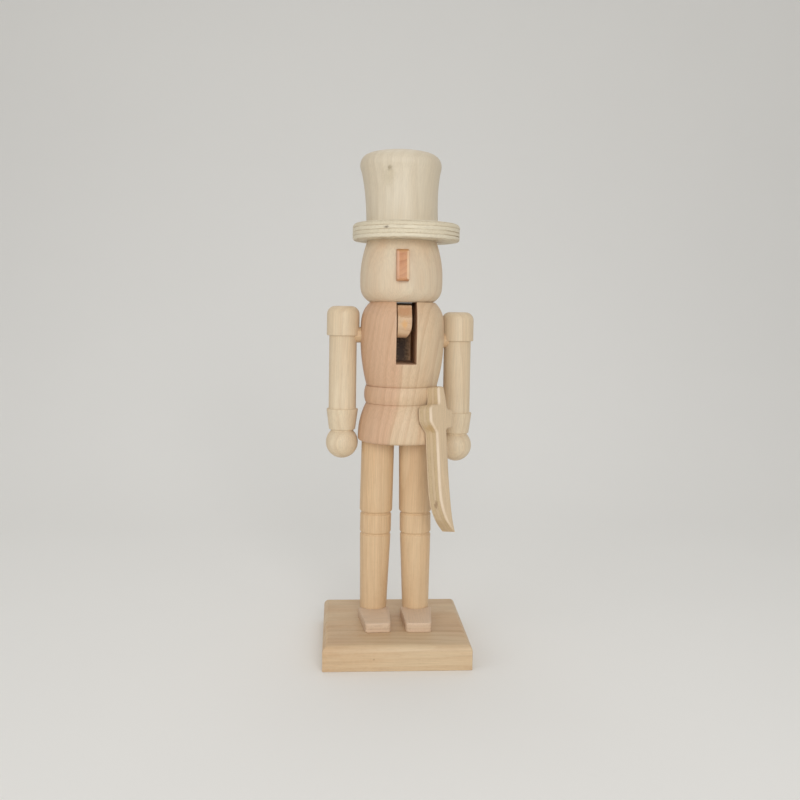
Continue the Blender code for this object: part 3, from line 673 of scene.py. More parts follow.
@dataclass(frozen=True)
class Timber(Finish):
    """Bare solid wood, sanded: its colours and how strongly its figure shows."""

    sap: Triple
    warm: Triple
    heart: Triple
    late: Triple
    ring_width: float = 0.0034
    ring_strength: float = 0.3
    fibre_strength: float = 0.5
    pore_strength: float = 0.3
    tooling: float = 0.5
    roughness: float = 0.5
    heart_radius: float = 0.0
    heart_edge: float = 0.004
    dust_and_hollow_shade: float = 0.35
    wear_and_edge_highlight: float = 0.3
    streak_dark: float = 0.16
    streak_light: float = 0.1
    sheen: float = 0.16
    polish: float = 0.07
    fibre_relief: float = 0.55
    pore_relief: float = -0.5
    ring_relief: float = 0.35
    relief: float = 0.35
    relief_depth: float = 0.00012

    def cover(self, skin: Skin, grain: NodeSocket) -> None:
        """Lay bare wood on a material.

        Args:
            skin: The material.
            grain: The place in the log.
        """
        figure = skin.group(skin.groups.timber, Vector=grain, Ring_Width=self.ring_width,
                            Heart_Radius=self.heart_radius, Heart_Edge=self.heart_edge)
        edge_and_hollow = skin.group(skin.groups.handling, Vector=skin.here)
        tool = skin.group(skin.groups.tooling, Vector=skin.here)
        skin.paint = skin.mix(figure["Drift"], self.sap, self.warm)
        skin.tint(figure["Heart"], 1.0, self.heart)
        skin.tint(figure["Rings"], self.ring_strength, self.late)
        skin.streak(figure["Fibre"], 1.0 - self.streak_dark * self.fibre_strength,
                    1.0 + self.streak_light * self.fibre_strength)
        skin.tint(figure["Pores"], self.pore_strength, self.late)
        # Darker hollows are dust and painted shade; paler sharp edges are wear and painted highlight.
        skin.tint(edge_and_hollow["Corner"], self.dust_and_hollow_shade, self.late)
        skin.tint(edge_and_hollow["Edge"], self.wear_and_edge_highlight, self.sap)
        dull = skin.vary(tool["Sheen"], self.roughness, self.sheen)
        skin.feed(skin.inputs["Roughness"], skin.math("MULTIPLY_ADD", edge_and_hollow["Edge"], -self.polish, dull))
        height = skin.math("MULTIPLY", figure["Fibre"], self.fibre_relief)
        for part, weight in ((figure["Pores"], self.pore_relief), (tool["Height"], self.tooling),
                             (figure["Rings"], self.ring_relief)):
            height = skin.math("MULTIPLY_ADD", part, weight, height)
        skin.raise_by(height, self.relief, self.relief_depth)


@dataclass(frozen=True)
class Plywood(Finish):
    """Bare plywood: the colours of its layers and how they show at a sawn edge."""

    pale: Triple
    crossed: Triple
    glue: Triple
    layer: float
    wave: float = 0.0008
    glue_width: float = 0.00022
    roughness: float = 0.56
    dust_and_hollow_shade: float = 0.35
    wear_and_edge_highlight: float = 0.45
    crossed_strength: float = 0.6
    tone_strength: float = 0.35
    streak_dark: float = 0.9
    streak_light: float = 1.05
    pore_strength: float = 0.22
    glue_strength: float = 0.75
    sheen: float = 0.12
    relief: float = 0.5
    relief_depth: float = 0.00018

    def cover(self, skin: Skin, grain: NodeSocket) -> None:
        """Lay bare plywood on a material.

        Args:
            skin: The material.
            grain: The place in the sheet.
        """
        stack = skin.group(skin.groups.plies, Vector=grain, Layer=self.layer, Glue=self.glue_width,
                           Wave=self.wave)
        edge_and_hollow = skin.group(skin.groups.handling, Vector=skin.here)
        skin.paint = self.pale
        skin.tint(stack["Crossed"], self.crossed_strength, self.crossed)
        skin.tint(stack["Tone"], self.tone_strength, self.crossed)
        skin.streak(stack["Fibre"], self.streak_dark, self.streak_light)
        skin.tint(stack["Pores"], self.pore_strength, self.glue)
        skin.tint(stack["Glue Line"], self.glue_strength, self.glue)
        # Darker hollows are dust and painted shade; paler sharp edges are wear and painted highlight.
        skin.tint(edge_and_hollow["Corner"], self.dust_and_hollow_shade, self.glue)
        skin.tint(edge_and_hollow["Edge"], self.wear_and_edge_highlight, self.pale)
        skin.feed(skin.inputs["Roughness"], skin.vary(stack["Fibre"], self.roughness, self.sheen))
        skin.raise_by(stack["Height"], self.relief, self.relief_depth)


@dataclass(frozen=True)
class Steel(Finish):
    """Plain bright steel with a drawn or turned surface."""

    tint: Triple = (0.55, 0.55, 0.56)
    shade: float = 0.8
    roughness: float = 0.34
    sheen: float = 0.2
    relief: float = 0.25
    relief_depth: float = 0.00005

    def cover(self, skin: Skin, grain: NodeSocket) -> None:
        """Lay steel on a material.

        Args:
            skin: The material.
            grain: The place on the piece.
        """
        tool = skin.group(skin.groups.tooling, Vector=grain)
        skin.paint = skin.mix(tool["Sheen"], tuple(self.shade * value for value in self.tint), self.tint)
        skin.feed(skin.inputs["Metallic"], 1.0)
        skin.feed(skin.inputs["Roughness"], skin.vary(tool["Sheen"], self.roughness, self.sheen))
        skin.raise_by(tool["Height"], self.relief, self.relief_depth)


class Look(Enum):
    """The woods, plywoods and metal that the figure is made of."""

    BODY = Timber(Slot.BASSWOOD, colour(213, 190, 158), colour(214, 184, 150), colour(207, 170, 138),
                  colour(176, 131, 96), heart_radius=0.0535, heart_edge=0.0045)
    HEAD = Timber(Slot.BASSWOOD, colour(217, 202, 176), colour(214, 189, 159), colour(207, 172, 140),
                  colour(186, 148, 114), 0.0042, 0.18, fibre_strength=0.4, pore_strength=0.18)
    SAWN = Timber(Slot.BASSWOOD, colour(212, 178, 146), colour(204, 168, 136), colour(196, 158, 126),
                  colour(160, 120, 90), ring_strength=0.4, fibre_strength=1.0, tooling=0.0, roughness=0.86)
    LEG = Timber(Slot.BASSWOOD, colour(217, 188, 150), colour(211, 178, 138), colour(207, 170, 130),
                 colour(180, 136, 94), ring_strength=0.24)
    PALE = Timber(Slot.PALE_BASSWOOD, colour(221, 204, 175), colour(216, 194, 162), colour(210, 182, 150),
                  colour(182, 146, 110), ring_strength=0.22)
    HAT = Timber(Slot.PALE_BASSWOOD, colour(219, 208, 187), colour(212, 198, 174), colour(205, 182, 152),
                 colour(176, 154, 124), 0.0046, 0.16, fibre_strength=0.35, pore_strength=0.16)
    BASE = Timber(Slot.BASSWOOD, colour(211, 186, 151), colour(203, 170, 132), colour(198, 160, 122),
                  colour(166, 122, 84), 0.0031, 0.42, tooling=0.0)
    LEVER = Timber(Slot.BASSWOOD, colour(206, 174, 138), colour(199, 161, 124), colour(190, 143, 107),
                   colour(164, 117, 82), ring_strength=0.34, tooling=0.0)
    NOSE = Timber(Slot.DARK_WOOD, colour(205, 153, 112), colour(196, 138, 96), colour(190, 130, 88),
                  colour(160, 100, 62), 0.0030, 0.55, tooling=0.0)
    DOWEL = Timber(Slot.BIRCH_DOWEL, colour(213, 184, 146), colour(206, 172, 132), colour(200, 164, 124),
                   colour(172, 128, 88), 0.0016, tooling=0.0)
    BRIM = Plywood(Slot.PLYWOOD, colour(225, 215, 192), colour(214, 201, 174), colour(176, 152, 118), 0.0020,
                   0.0012)
    SWORD = Plywood(Slot.PLYWOOD, colour(212, 188, 155), colour(197, 172, 130), colour(166, 130, 92), 0.0020,
                    0.0006)
    FOOT = Plywood(Slot.PLYWOOD, colour(220, 193, 167), colour(202, 178, 148), colour(158, 126, 96), 0.0017)
    STEEL = Steel(Slot.STEEL)


@dataclass
class Stance:
    """Where the figure stands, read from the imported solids."""

    axis: Vector
    legs_middle: float = 0.0009
    leg_spread: float = 0.01105
    leg_splay: float = math.radians(0.9)

    @classmethod
    def read(cls) -> "Stance":
        """Find the body's axis and foot from its solid."""
        low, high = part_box("body")
        return cls(Vector(((low.x + high.x) / 2, (low.y + high.y) / 2, low.z)))

    @property
    def leg_foot(self) -> float:
        """Height of a leg's foot, which its splay lifts."""
        return BASE_THICK + SEAT_GAP + LEG_FOOT_RADIUS * math.sin(self.leg_splay)

    def at(self, across: float, back: float, up: float) -> Matrix:
        """The frame at a place to the left of, behind and above the middle of the body's foot."""
        return Matrix.Translation(self.axis + Vector((across, back, up)))

    def leg_line(self, side: Side) -> Matrix:
        """The frame of a leg, with Z along it from its foot."""
        foot = Vector((self.legs_middle + side.value * self.leg_spread, self.axis.y, self.leg_foot))
        return Matrix.Translation(foot) @ Matrix.Rotation(-side.value * self.leg_splay, 4, "Y")


@dataclass
class Assembly:
    """A sub-assembly, with the place of the figure and the node groups that its finishes share."""

    stance: Stance
    groups: Groups

    def finish(self, piece: Object, look: Look, name: str, frame: Matrix, node: str, marks_and_painted_light: MarksAndPaintedLight = (),
               body: Body = Body.FIGURE) -> None:
        """Dress a piece, shade it, hang it on its body and let it stand for its solid.

        Args:
            piece: The piece.
            look: Its finish.
            name: Name of its material.
            frame: Frame of the log or the sheet that it came from.
            node: The solid that it stands for.
            marks_and_painted_light: Knots, stains, painted highlights and painted shade on it.
            body: The body that it moves with.
        """
        piece.data.materials.clear()
        piece.data.materials.append(look.value.dress(name, self.groups, frame, marks_and_painted_light))
        piece.data.shade_smooth()
        piece.data.set_sharp_from_angle(angle=SHARP_ANGLE)
        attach(piece, body.value)
        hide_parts(node)
        LOG.info("%s: %d faces on %s", piece.name, len(piece.data.polygons), body.value)


@dataclass
class Base(Assembly):
    """The square base with its rounded top edges and the two screws that hold the legs."""

    width: float = 0.0714
    top_round: float = 0.0034
    top_steps: int = 8
    edge: float = 0.0004
    screw_head: float = 0.0036
    screw_head_length: float = 0.0022
    screw_rim: float = 0.0003
    screw_shank: float = 0.0016
    screw_sink: float = 0.0005
    screw_in_leg: float = 0.0110
    screw_point: float = 0.0025
    hole_gap: float = 0.0003
    cross_width: float = 0.0009
    cross_depth: float = 0.0014
    cross_length: float = 0.0042

    def build(self) -> None:
        """Model and dress the base and its screws."""
        half = self.width / 2
        shape = block((-half, -half, 0.0), (half, half, BASE_THICK))
        top = [edge for edge in shape.edges if min(vert.co.z for vert in edge.verts) > BASE_THICK - MERGE]
        ease(shape, top, self.top_round, self.top_steps)
        ease(shape, arrises(shape), self.edge)
        base = as_object("base_block", shape, Matrix())
        for side in Side:
            self.screw(side, base)
        grain = log_at(LYING, pith=(0.060, 0.020, 0.0), lean=(0.02, 0.015, 0.0))
        speck = MarkOrPaintedShade((-0.0113, -half, 0.0058), (0.0007, 0.0010, 0.0006), colour(136, 100, 70), 0.45)
        self.finish(base, Look.BASE, "base_basswood", grain, "base_plate", (speck,))

    def screw_profile(self, gap: float, below: float) -> list[Point]:
        """Profile of a countersunk screw along a leg's line, or of its hole.

        Args:
            gap: Clearance, for a hole.
            below: How much lower the head's face lies, for a hole.

        Returns:
            The profile from its point down.
        """
        head = self.screw_sink - self.stance.leg_foot
        return [
            (0.0, self.screw_in_leg),
            (self.screw_shank + gap, self.screw_in_leg - self.screw_point),
            (self.screw_shank + gap, head + self.screw_head_length + gap),
            (self.screw_head + gap, head + self.screw_rim + gap),
            (self.screw_head + gap, head - below),
            (0.0, head - below),
        ]

    def screw(self, side: Side, base: Object) -> None:
        """Sink a cross-slotted screw into the underside.

        Args:
            side: Which leg it holds.
            base: The base, which is bored.
        """
        line = self.stance.leg_line(side)
        carve(base, turned(self.screw_profile(self.hole_gap, OVERCUT), DOWEL_STEPS), line)
        name = side.label + "_screw"
        screw = as_object(name, turned(self.screw_profile(0.0, 0.0), DOWEL_STEPS), line)
        head = self.screw_sink - self.stance.leg_foot
        wide, long = self.cross_width / 2, self.cross_length / 2
        for turn in (QUARTER / 2, 3 * QUARTER / 2):
            slit = block((-wide, -long, head - OVERCUT), (wide, long, head + self.cross_depth))
            carve(screw, slit, line @ Matrix.Rotation(turn, 4, "Z"))
        self.finish(screw, Look.STEEL, name + "_steel", Matrix(), side.label + "_base_screw")


@dataclass
class Leg(Assembly):
    """A turned leg with its knee band, and the plywood foot in front of it."""

    side: Side
    foot_turn: float
    shin: float = 0.0430
    band: float = 0.0107
    thigh: float = 0.0370
    shin_radius: float = 0.0079
    band_radius: float = 0.0080
    thigh_radius: float = 0.0084
    groove_radius: float = 0.0072
    groove_half: float = 0.0009
    thigh_round: float = 0.0026
    edge: float = 0.0006
    toe_thick: float = 0.0044
    toe_length: float = 0.0248
    heel_width: float = 0.0159
    toe_width: float = 0.0124
    heel_ahead: float = 0.0031
    toe_round: float = 0.0016
    toe_edge: float = 0.0003

    def build(self) -> None:
        """Model and dress the leg and its foot."""
        line = self.stance.leg_line(self.side)
        sign, label = self.side.value, self.side.label
        lower, upper, half = self.shin, self.shin + self.band, self.groove_half
        top = upper + self.thigh + GLUE_LINE
        profile = rounded([
            (0.0, top, 0.0),
            (self.thigh_radius, top, self.edge),
            (self.thigh_radius, upper + half, self.thigh_round),
            (self.groove_radius, upper, self.edge / 2),
            (self.band_radius, upper - half, self.edge),
            (self.band_radius, lower + half, self.edge),
            (self.groove_radius, lower, self.edge / 2),
            (self.shin_radius, lower - half, self.edge),
            (LEG_FOOT_RADIUS, -GLUE_LINE, 0.0),
            (0.0, -GLUE_LINE, 0.0),
        ])
        leg = as_object(label + "_leg_turning", turned(profile, LIMB_STEPS), line)
        grain = log_at(line, pith=(0.031 * sign, 0.022, 0.0), lean=(0.02, 0.03 * sign, 0.0))
        self.finish(leg, Look.LEG, label + "_leg_basswood", grain, label + "_leg")
        self.foot(line)

    def foot(self, line: Matrix) -> None:
        """Saw the foot, notch its heel for the leg and ease its edges.

        Args:
            line: Frame of the leg.
        """
        heel, toe = -self.heel_ahead, -self.heel_ahead - self.toe_length
        outline = rounded([
            (heel, self.heel_width / 2, 0.0),
            (toe, self.toe_width / 2, self.toe_round),
            (toe, -self.toe_width / 2, self.toe_round),
            (heel, -self.heel_width / 2, 0.0),
        ], closed=True)
        shape = sawn(outline, 0.0, self.toe_thick + GLUE_LINE)
        bmesh.ops.rotate(shape, verts=shape.verts, matrix=Matrix.Rotation(-QUARTER, 3, "Y"))
        ease(shape, arrises(shape), self.toe_edge, 2)
        place = Vector((*line.translation.xy, BASE_THICK + SEAT_GAP - GLUE_LINE))
        stand = Matrix.Translation(place) @ Matrix.Rotation(self.foot_turn, 4, "Z")
        label = self.side.label
        foot = as_object(label + "_toe_block", shape, stand)
        carve(foot, rod(LEG_FOOT_RADIUS + SEAT_GAP, -OVERCUT, self.toe_thick + OVERCUT), line)
        sheet = stand @ Matrix.Rotation(QUARTER * (self.side is Side.LEFT), 4, "Z")
        self.finish(foot, Look.FOOT, label + "_foot_plywood", sheet, label + "_foot")


@dataclass
class Trunk(Assembly):
    """Torso, belt and skirt turned in one piece, with the mouth slot sawn down from its top."""

    skirt_height: float = 0.0196
    skirt_radius: float = 0.0222
    skirt_top_radius: float = 0.0182
    skirt_power: float = 2.2
    hem_round: float = 0.0014
    belt_height: float = 0.0085
    belt_radius: float = 0.0192
    belt_edge_radius: float = 0.0184
    belt_power: float = 2.0
    belt_steps: int = 8
    torso_height: float = 0.0427
    torso_radius: float = 0.0214
    torso_widest: float = 0.0258
    torso_foot_radius: float = 0.0181
    torso_top_radius: float = 0.0166
    torso_foot_power: float = 2.1
    torso_top_power: float = 3.8
    groove: float = 0.00035
    slot_width: float = 0.0102
    slot_depth: float = 0.0308
    slot_shift: float = 0.0008
    slot_edge: float = 0.00022
    slot_rim: float = 0.0156
    pin_back: float = 0.0130
    pin_drop: float = 0.0072
    pin_radius: float = 0.00125
    pin_gap: float = 0.0003
    pin_setback: float = 0.0010
    pin_edge: float = 0.0003

    @property
    def belt_top(self) -> float:
        """Height of the belt's upper edge above the hem."""
        return self.skirt_height + self.belt_height

    @property
    def belt_middle(self) -> float:
        """Height of the belt's middle above the hem."""
        return self.skirt_height + self.belt_height / 2

    @property
    def height(self) -> float:
        """Height of the whole piece."""
        return self.belt_top + self.torso_height

    @property
    def shoulder(self) -> float:
        """Height of the torso's widest place."""
        return self.belt_top + self.torso_widest

    def profile(self) -> list[Point]:
        """The turned profile from the top down.

        Returns:
            Points (radius, height).
        """
        wide, hem = (self.torso_radius, self.shoulder), (self.skirt_radius, self.hem_round)
        upper = swell(wide, (self.torso_top_radius, self.height), self.torso_top_power)
        lower = swell(wide, (self.torso_foot_radius, self.belt_top + self.groove), self.torso_foot_power)
        belt_above, belt_below = (
            swell((self.belt_radius, self.belt_middle), (self.belt_edge_radius, edge), self.belt_power,
                  self.belt_steps) for edge in (self.belt_top, self.skirt_height))
        skirt = swell(hem, (self.skirt_top_radius, self.skirt_height - self.groove), self.skirt_power)
        rim = rounded([(*hem, 0.0), (self.skirt_radius, 0.0, self.hem_round), (0.0, 0.0, 0.0)])
        torso = upper[::-1] + lower[1:] + [(self.torso_foot_radius - self.groove, self.belt_top)]
        belt = belt_above[::-1] + belt_below[1:] + [(self.skirt_top_radius - self.groove, self.skirt_height)]
        return [(0.0, self.height)] + torso + belt + skirt[::-1] + rim[1:]

    def radius_at(self, height: float) -> float:
        """Radius of the turned profile.

        Args:
            height: Height above the hem.

        Returns:
            The radius there, or 0 outside the piece.
        """
        profile = self.profile()
        for (upper_radius, upper), (lower_radius, lower) in zip(profile[1:], profile[2:]):
            if lower <= height <= upper and upper > lower:
                return lower_radius + (upper_radius - lower_radius) * (height - lower) / (upper - lower)
        return 0.0

    def build(self) -> None:
        """Model and dress the trunk and the pin across its slot."""
        here = self.stance.at(0.0, 0.0, 0.0)
        trunk = as_object("trunk", turned(self.profile()), here)
        reach = self.torso_radius + OVERCUT
        low = Vector((self.slot_shift - self.slot_width / 2, -reach, self.height - self.slot_depth))
        high = Vector((self.slot_shift + self.slot_width / 2, reach, self.height + OVERCUT))
        carve(trunk, block(low, high), here)
        self.ease_slot(trunk, low + self.stance.axis, high + self.stance.axis)
        across = self.stance.at(0.0, self.pin_back, self.height - self.pin_drop) @ LYING
        side = math.sqrt(self.radius_at(self.height - self.pin_drop) ** 2 - self.pin_back ** 2)
        carve(trunk, rod(self.pin_radius + self.pin_gap, -side - OVERCUT, side + OVERCUT), across)
        grain = log_at(here, pith=(-0.0573, 0.0, 0.0), lean=(0.0, 0.165, 0.0))
        self.finish(trunk, Look.BODY, "trunk_basswood", grain, "body")
        trunk.data.materials.append(Look.SAWN.value.dress("slot_sawn_basswood", self.groups, grain))
        for face in trunk.data.polygons:
            middle = face.center - self.stance.axis
            off_wall = min(abs(middle.x - low.x), abs(middle.x - high.x))
            in_wall = off_wall < MERGE and abs(face.normal.x) > SQUARE_ON
            in_floor = abs(middle.z - low.z) < MERGE and face.normal.z > SQUARE_ON
            face.material_index = int(in_wall or in_floor)
        half = side - self.pin_setback
        pin = as_object("pivot_pin", rod(self.pin_radius, -half, half, self.pin_edge), across)
        self.finish(pin, Look.STEEL, "pin_steel", Matrix(), "jaw_pin")

    def ease_slot(self, trunk: Object, low: Vector, high: Vector) -> None:
        """Ease the edges round the mouth of the slot.

        Args:
            trunk: The piece, which is changed.
            low: Lowest corner of the slot.
            high: Highest corner of the slot.
        """
        def in_mouth(place: Vector) -> bool:
            """Whether a point lies on the slot and on the outside of the torso."""
            in_slot = low.x - NEAR <= place.x <= high.x + NEAR and place.z >= low.z - NEAR
            return in_slot and (place - self.stance.axis).xy.length > self.slot_rim

        shape = bmesh.new()
        shape.from_mesh(trunk.data)
        close(shape)
        mouth = [edge for edge in arrises(shape) if all(in_mouth(vert.co) for vert in edge.verts)]
        ease(shape, mouth, self.slot_edge, 2)
        shape.to_mesh(trunk.data)
        shape.free()


@dataclass
class Head(Assembly):
    """The turned head with the nose let into its front."""

    trunk: Trunk
    height: float = 0.0306
    radius: float = 0.0210
    widest: float = 0.0122
    foot_radius: float = 0.0163
    top_radius: float = 0.0176
    foot_power: float = 4.2
    top_power: float = 1.9
    shift: float = -0.0009
    nose_width: float = 0.0064
    nose_height: float = 0.0156
    nose_above_chin: float = 0.0098
    nose_top_out: float = 0.0016
    nose_foot_out: float = 0.0044
    nose_sink: float = 0.0040
    nose_round: float = 0.0016
    nose_shift: float = -0.0008
    nose_edge: float = 0.0015
    nose_edge_steps: int = 4
    nose_tight: float = 0.00008

    def build(self) -> None:
        """Model and dress the head and the nose."""
        foot = self.trunk.height + SEAT_GAP
        here = self.stance.at(self.shift, 0.0, foot)
        wide = (self.radius, self.widest)
        upper = swell(wide, (self.top_radius, self.height), self.top_power)
        lower = swell(wide, (self.foot_radius, -GLUE_LINE), self.foot_power)
        profile = [(0.0, self.height)] + upper[::-1] + lower[1:] + [(0.0, -GLUE_LINE)]
        head = as_object("head_turning", turned(profile), here)
        back = self.nose_sink - self.radius
        half = self.nose_width / 2 - self.nose_tight
        place = self.stance.at(self.shift + self.nose_shift, 0.0, foot + self.nose_above_chin)
        carve(head, block((-half, -self.radius - OVERCUT, self.nose_tight),
                          (half, back - self.nose_tight, self.nose_height - self.nose_tight)), place)
        grain = log_at(here, pith=(0.020, 0.055, 0.0), lean=(0.03, -0.04, 0.0))
        self.finish(head, Look.HEAD, "head_basswood", grain, "head")

        outline = rounded([
            (back, 0.0, 0.0),
            (back, self.nose_height, 0.0),
            (-self.radius - self.nose_top_out, self.nose_height, self.nose_round),
            (-self.radius - self.nose_foot_out, 0.0, self.nose_round),
        ], closed=True)
        shape = sawn(outline, -self.nose_width / 2, self.nose_width / 2)
        front = [edge for edge in arrises(shape) if max(vert.co.y for vert in edge.verts) < -self.radius]
        ease(shape, front, self.nose_edge, self.nose_edge_steps, clamp=False)
        nose = as_object("nose_block", shape, place)
        grain = log_at(place, pith=(0.010, 0.0, -0.030), lean=(QUARTER, 0.0, 0.0))
        # Painted light on the nose: a pinkish painted reflection on its rounded edge towards -X, a pale
        # painted highlight on its rounded edge towards +X, and painted shade darkening its top.
        marks_and_painted_light = (PaintedFacingLight((-HALF_WAY, -HALF_WAY, 0.0), 0.73, 0.93, colour(222, 176, 146), 0.8),
                 PaintedFacingLight((HALF_WAY, -HALF_WAY, 0.0), 0.73, 0.93, colour(238, 208, 172), 0.9),
                 MarkOrPaintedShade((0.0013, -0.0140, 0.2000), (0.0040, 0.0060, 0.0017), colour(184, 138, 88), 0.6))
        self.finish(nose, Look.NOSE, "nose_dark_wood", grain, "nose", marks_and_painted_light)


@dataclass
class Hat(Assembly):
    """The top hat: a ridged plywood brim and a turned crown that leans a little."""

    head: Head
    brim_radius: float = 0.0274
    brim_thick: float = 0.0084
    brim_round: float = 0.0026
    brim_foot_round: float = 0.0013
    brim_shift: float = 0.0022
    ridge: float = 0.00022
    worn_ridge: float = 0.00062
    worn_bearing: float = math.radians(-18.0)
    worn_power: float = 14.0
    first_layer: float = -0.0001
    crown_foot_radius: float = 0.0182
    crown_radius: float = 0.0220
    crown_wall: float = 0.0328
    crown_dome: float = 0.0040
    crown_edge: float = 0.0060
    crown_power: float = 3.0
    crown_lean: float = -0.037
    dome_power: float = 0.5

    def build(self) -> None:
        """Model and dress the brim and the crown."""
        brim_foot = self.head.trunk.height + self.head.height + 2 * SEAT_GAP
        here = self.stance.at(self.head.shift + self.brim_shift, 0.0, brim_foot)
        shape = turned(self.rim(), BRIM_STEPS)
        self.wear(shape)
        brim = as_object("brim_disc", shape, here)
        stain = MarkOrPaintedShade((-0.0072, -0.0153, 0.2107), (0.0016, 0.0030, 0.0009), colour(92, 74, 54), 0.8)
        sheet = here @ Matrix.Translation((0.0, 0.0, self.first_layer))
        self.finish(brim, Look.BRIM, "brim_plywood", sheet, "hat_brim", (stain,))

        shape = turned(self.wall())
        bmesh.ops.transform(shape, verts=shape.verts, matrix=Matrix.Shear("XY", 4, (self.crown_lean, 0.0)))
        place = self.stance.at(self.head.shift, 0.0, brim_foot + self.brim_thick + SEAT_GAP)
        crown = as_object("crown_turning", shape, place)
        trail = MarkOrPaintedShade((-0.0060, -0.0084, 0.2365), (0.0046, 0.0060, 0.0062), colour(186, 172, 142), 0.35)
        knot = MarkOrPaintedShade((-0.0057, -0.0091, 0.2399), (0.0016, 0.0040, 0.0017), colour(134, 118, 92), 0.55)
        grain = log_at(place, pith=(-0.034, 0.012, 0.0), lean=(0.03, 0.05, 0.0))
        self.finish(crown, Look.HAT, "crown_basswood", grain, "hat_crown", (trail, knot))

    def wear(self, shape: BMesh) -> None:
        """Deepen the grooves between the brim's layers at the end where they are chipped.

        Args:
            shape: The turned brim, which is changed in place.
        """
        for vert in shape.verts:
            depth = self.brim_radius - math.hypot(vert.co.x, vert.co.y)
            if 0.0 < depth < self.ridge + MERGE and vert.co.z < self.brim_thick - self.brim_round:
                turn = math.atan2(vert.co.y, vert.co.x) - self.worn_bearing
                chip = self.worn_ridge * max(math.cos(turn), 0.0) ** self.worn_power * depth / self.ridge
                vert.co.xy *= 1.0 - chip / self.brim_radius

    def wall(self) -> list[Point]:
        """The crown's profile from the middle of its dome down.

        Returns:
            Points (radius, height).
        """
        corner = Vector((self.crown_radius, self.crown_wall))
        wall = swell((self.crown_foot_radius, -GLUE_LINE), tuple(corner), self.crown_power)
        top = (0.0, self.crown_wall + self.crown_dome)
        dome = swell(top, tuple(corner), self.dome_power, 2 * CURVE_STEPS)
        line = [point for point in dome[:-1] + wall[::-1]
                if (Vector(point) - corner).length > self.crown_edge]
        rows = [(*point, 0.0) for point in line]
        turn = next(index for index, point in enumerate(line) if point[1] < self.crown_wall)
        rows.insert(turn, (*corner, self.crown_edge))
        return rounded(rows) + [(0.0, -GLUE_LINE)]

    def rim(self) -> list[Point]:
        """The brim's profile from the top down, with a shallow ridge for each layer of its edge.

        Returns:
            Points (radius, height).
        """
        corners = [(0.0, self.brim_thick, 0.0), (self.brim_radius, self.brim_thick, self.brim_round)]
        layer = Look.BRIM.value.layer
        for count in (3, 2, 1):
            line = count * layer + self.first_layer
            for depth, rise in ((self.ridge / 3, layer / 8), (self.ridge, 0.0), (self.ridge / 3, -layer / 8)):
                corners.append((self.brim_radius - depth, line + rise, 0.0))
        corners += [(self.brim_radius, -GLUE_LINE, self.brim_foot_round), (0.0, -GLUE_LINE, 0.0)]
        return rounded(corners)


@dataclass
class Arm(Assembly):
    """A turned arm with cap, sleeve, cuff and ball hand, held to the shoulder by a dowel."""

    trunk: Trunk
    side: Side
    bearing: float
    drop: float = 0.0
    cap_radius: float = 0.0083
    cap_length: float = 0.0150
    cap_round: float = 0.0042
    sleeve_radius: float = 0.0070
    sleeve_length: float = 0.0374
    cuff_radius: float = 0.0081
    cuff_foot_radius: float = 0.0067
    cuff_length: float = 0.0105
    wrist_radius: float = 0.0058
    wrist_length: float = 0.0010
    hand_radius: float = 0.0082
    edge: float = 0.0004
    dowel_radius: float = 0.0040
    dowel_in_arm: float = 0.0070
    dowel_in_body: float = 0.0100
    dowel_edge: float = 0.0005

    def profile(self) -> list[Point]:
        """The turned profile from the top of the cap down.

        Returns:
            Points (radius, height).
        """
        cap = -self.cap_length
        cuff = cap - self.sleeve_length
        wrist = cuff - self.cuff_length
        start = math.asin(self.wrist_radius / self.hand_radius)
        middle = wrist - self.wrist_length - self.hand_radius * math.cos(start)
        corners = [
            (0.0, 0.0, 0.0),
            (self.cap_radius, 0.0, self.cap_round),
            (self.cap_radius, cap, self.edge),
            (self.sleeve_radius, cap, self.edge / 2),
            (self.sleeve_radius, cuff, self.edge / 2),
            (self.cuff_radius, cuff, self.edge),
            (self.cuff_foot_radius, wrist, self.edge),
            (self.wrist_radius, wrist - self.wrist_length / 2, self.edge / 2),
        ]
        steps = 2 * CURVE_STEPS
        for step in range(steps + 1):
            angle = start + (math.pi - start) * step / steps
            up = middle + self.hand_radius * math.cos(angle)
            corners.append((self.hand_radius * math.sin(angle), up, 0.0))
        return rounded(corners)

    def build(self) -> None:
        """Model and dress the arm and its dowel."""
        label = self.side.label
        low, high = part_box(label + "_arm")
        place = Matrix.Translation(((low.x + high.x) / 2, (low.y + high.y) / 2, high.z))
        arm = as_object(label + "_arm_turning", turned(self.profile(), LIMB_STEPS), place)
        grain = log_at(place, pith=(0.024 * self.side.value, 0.034, 0.0), lean=(0.02, 0.02, 0.0))
        self.finish(arm, Look.PALE, label + "_arm_basswood", grain, label + "_arm")

        shoulder = self.stance.at(0.0, 0.0, self.trunk.shoulder - self.drop)
        lying = shoulder @ Matrix.Rotation(self.bearing, 4, "Z") @ LYING
        axis = (place.translation - shoulder.translation).xy.length
        shape = rod(self.dowel_radius, self.trunk.torso_radius - self.dowel_in_body,
                    axis - self.cap_radius + self.dowel_in_arm, self.dowel_edge)
        dowel = as_object(label + "_shoulder_peg", shape, lying)
        grain = log_at(lying, pith=(0.011, 0.006, 0.0))
        self.finish(dowel, Look.DOWEL, label + "_peg_birch", grain, label + "_shoulder_dowel")


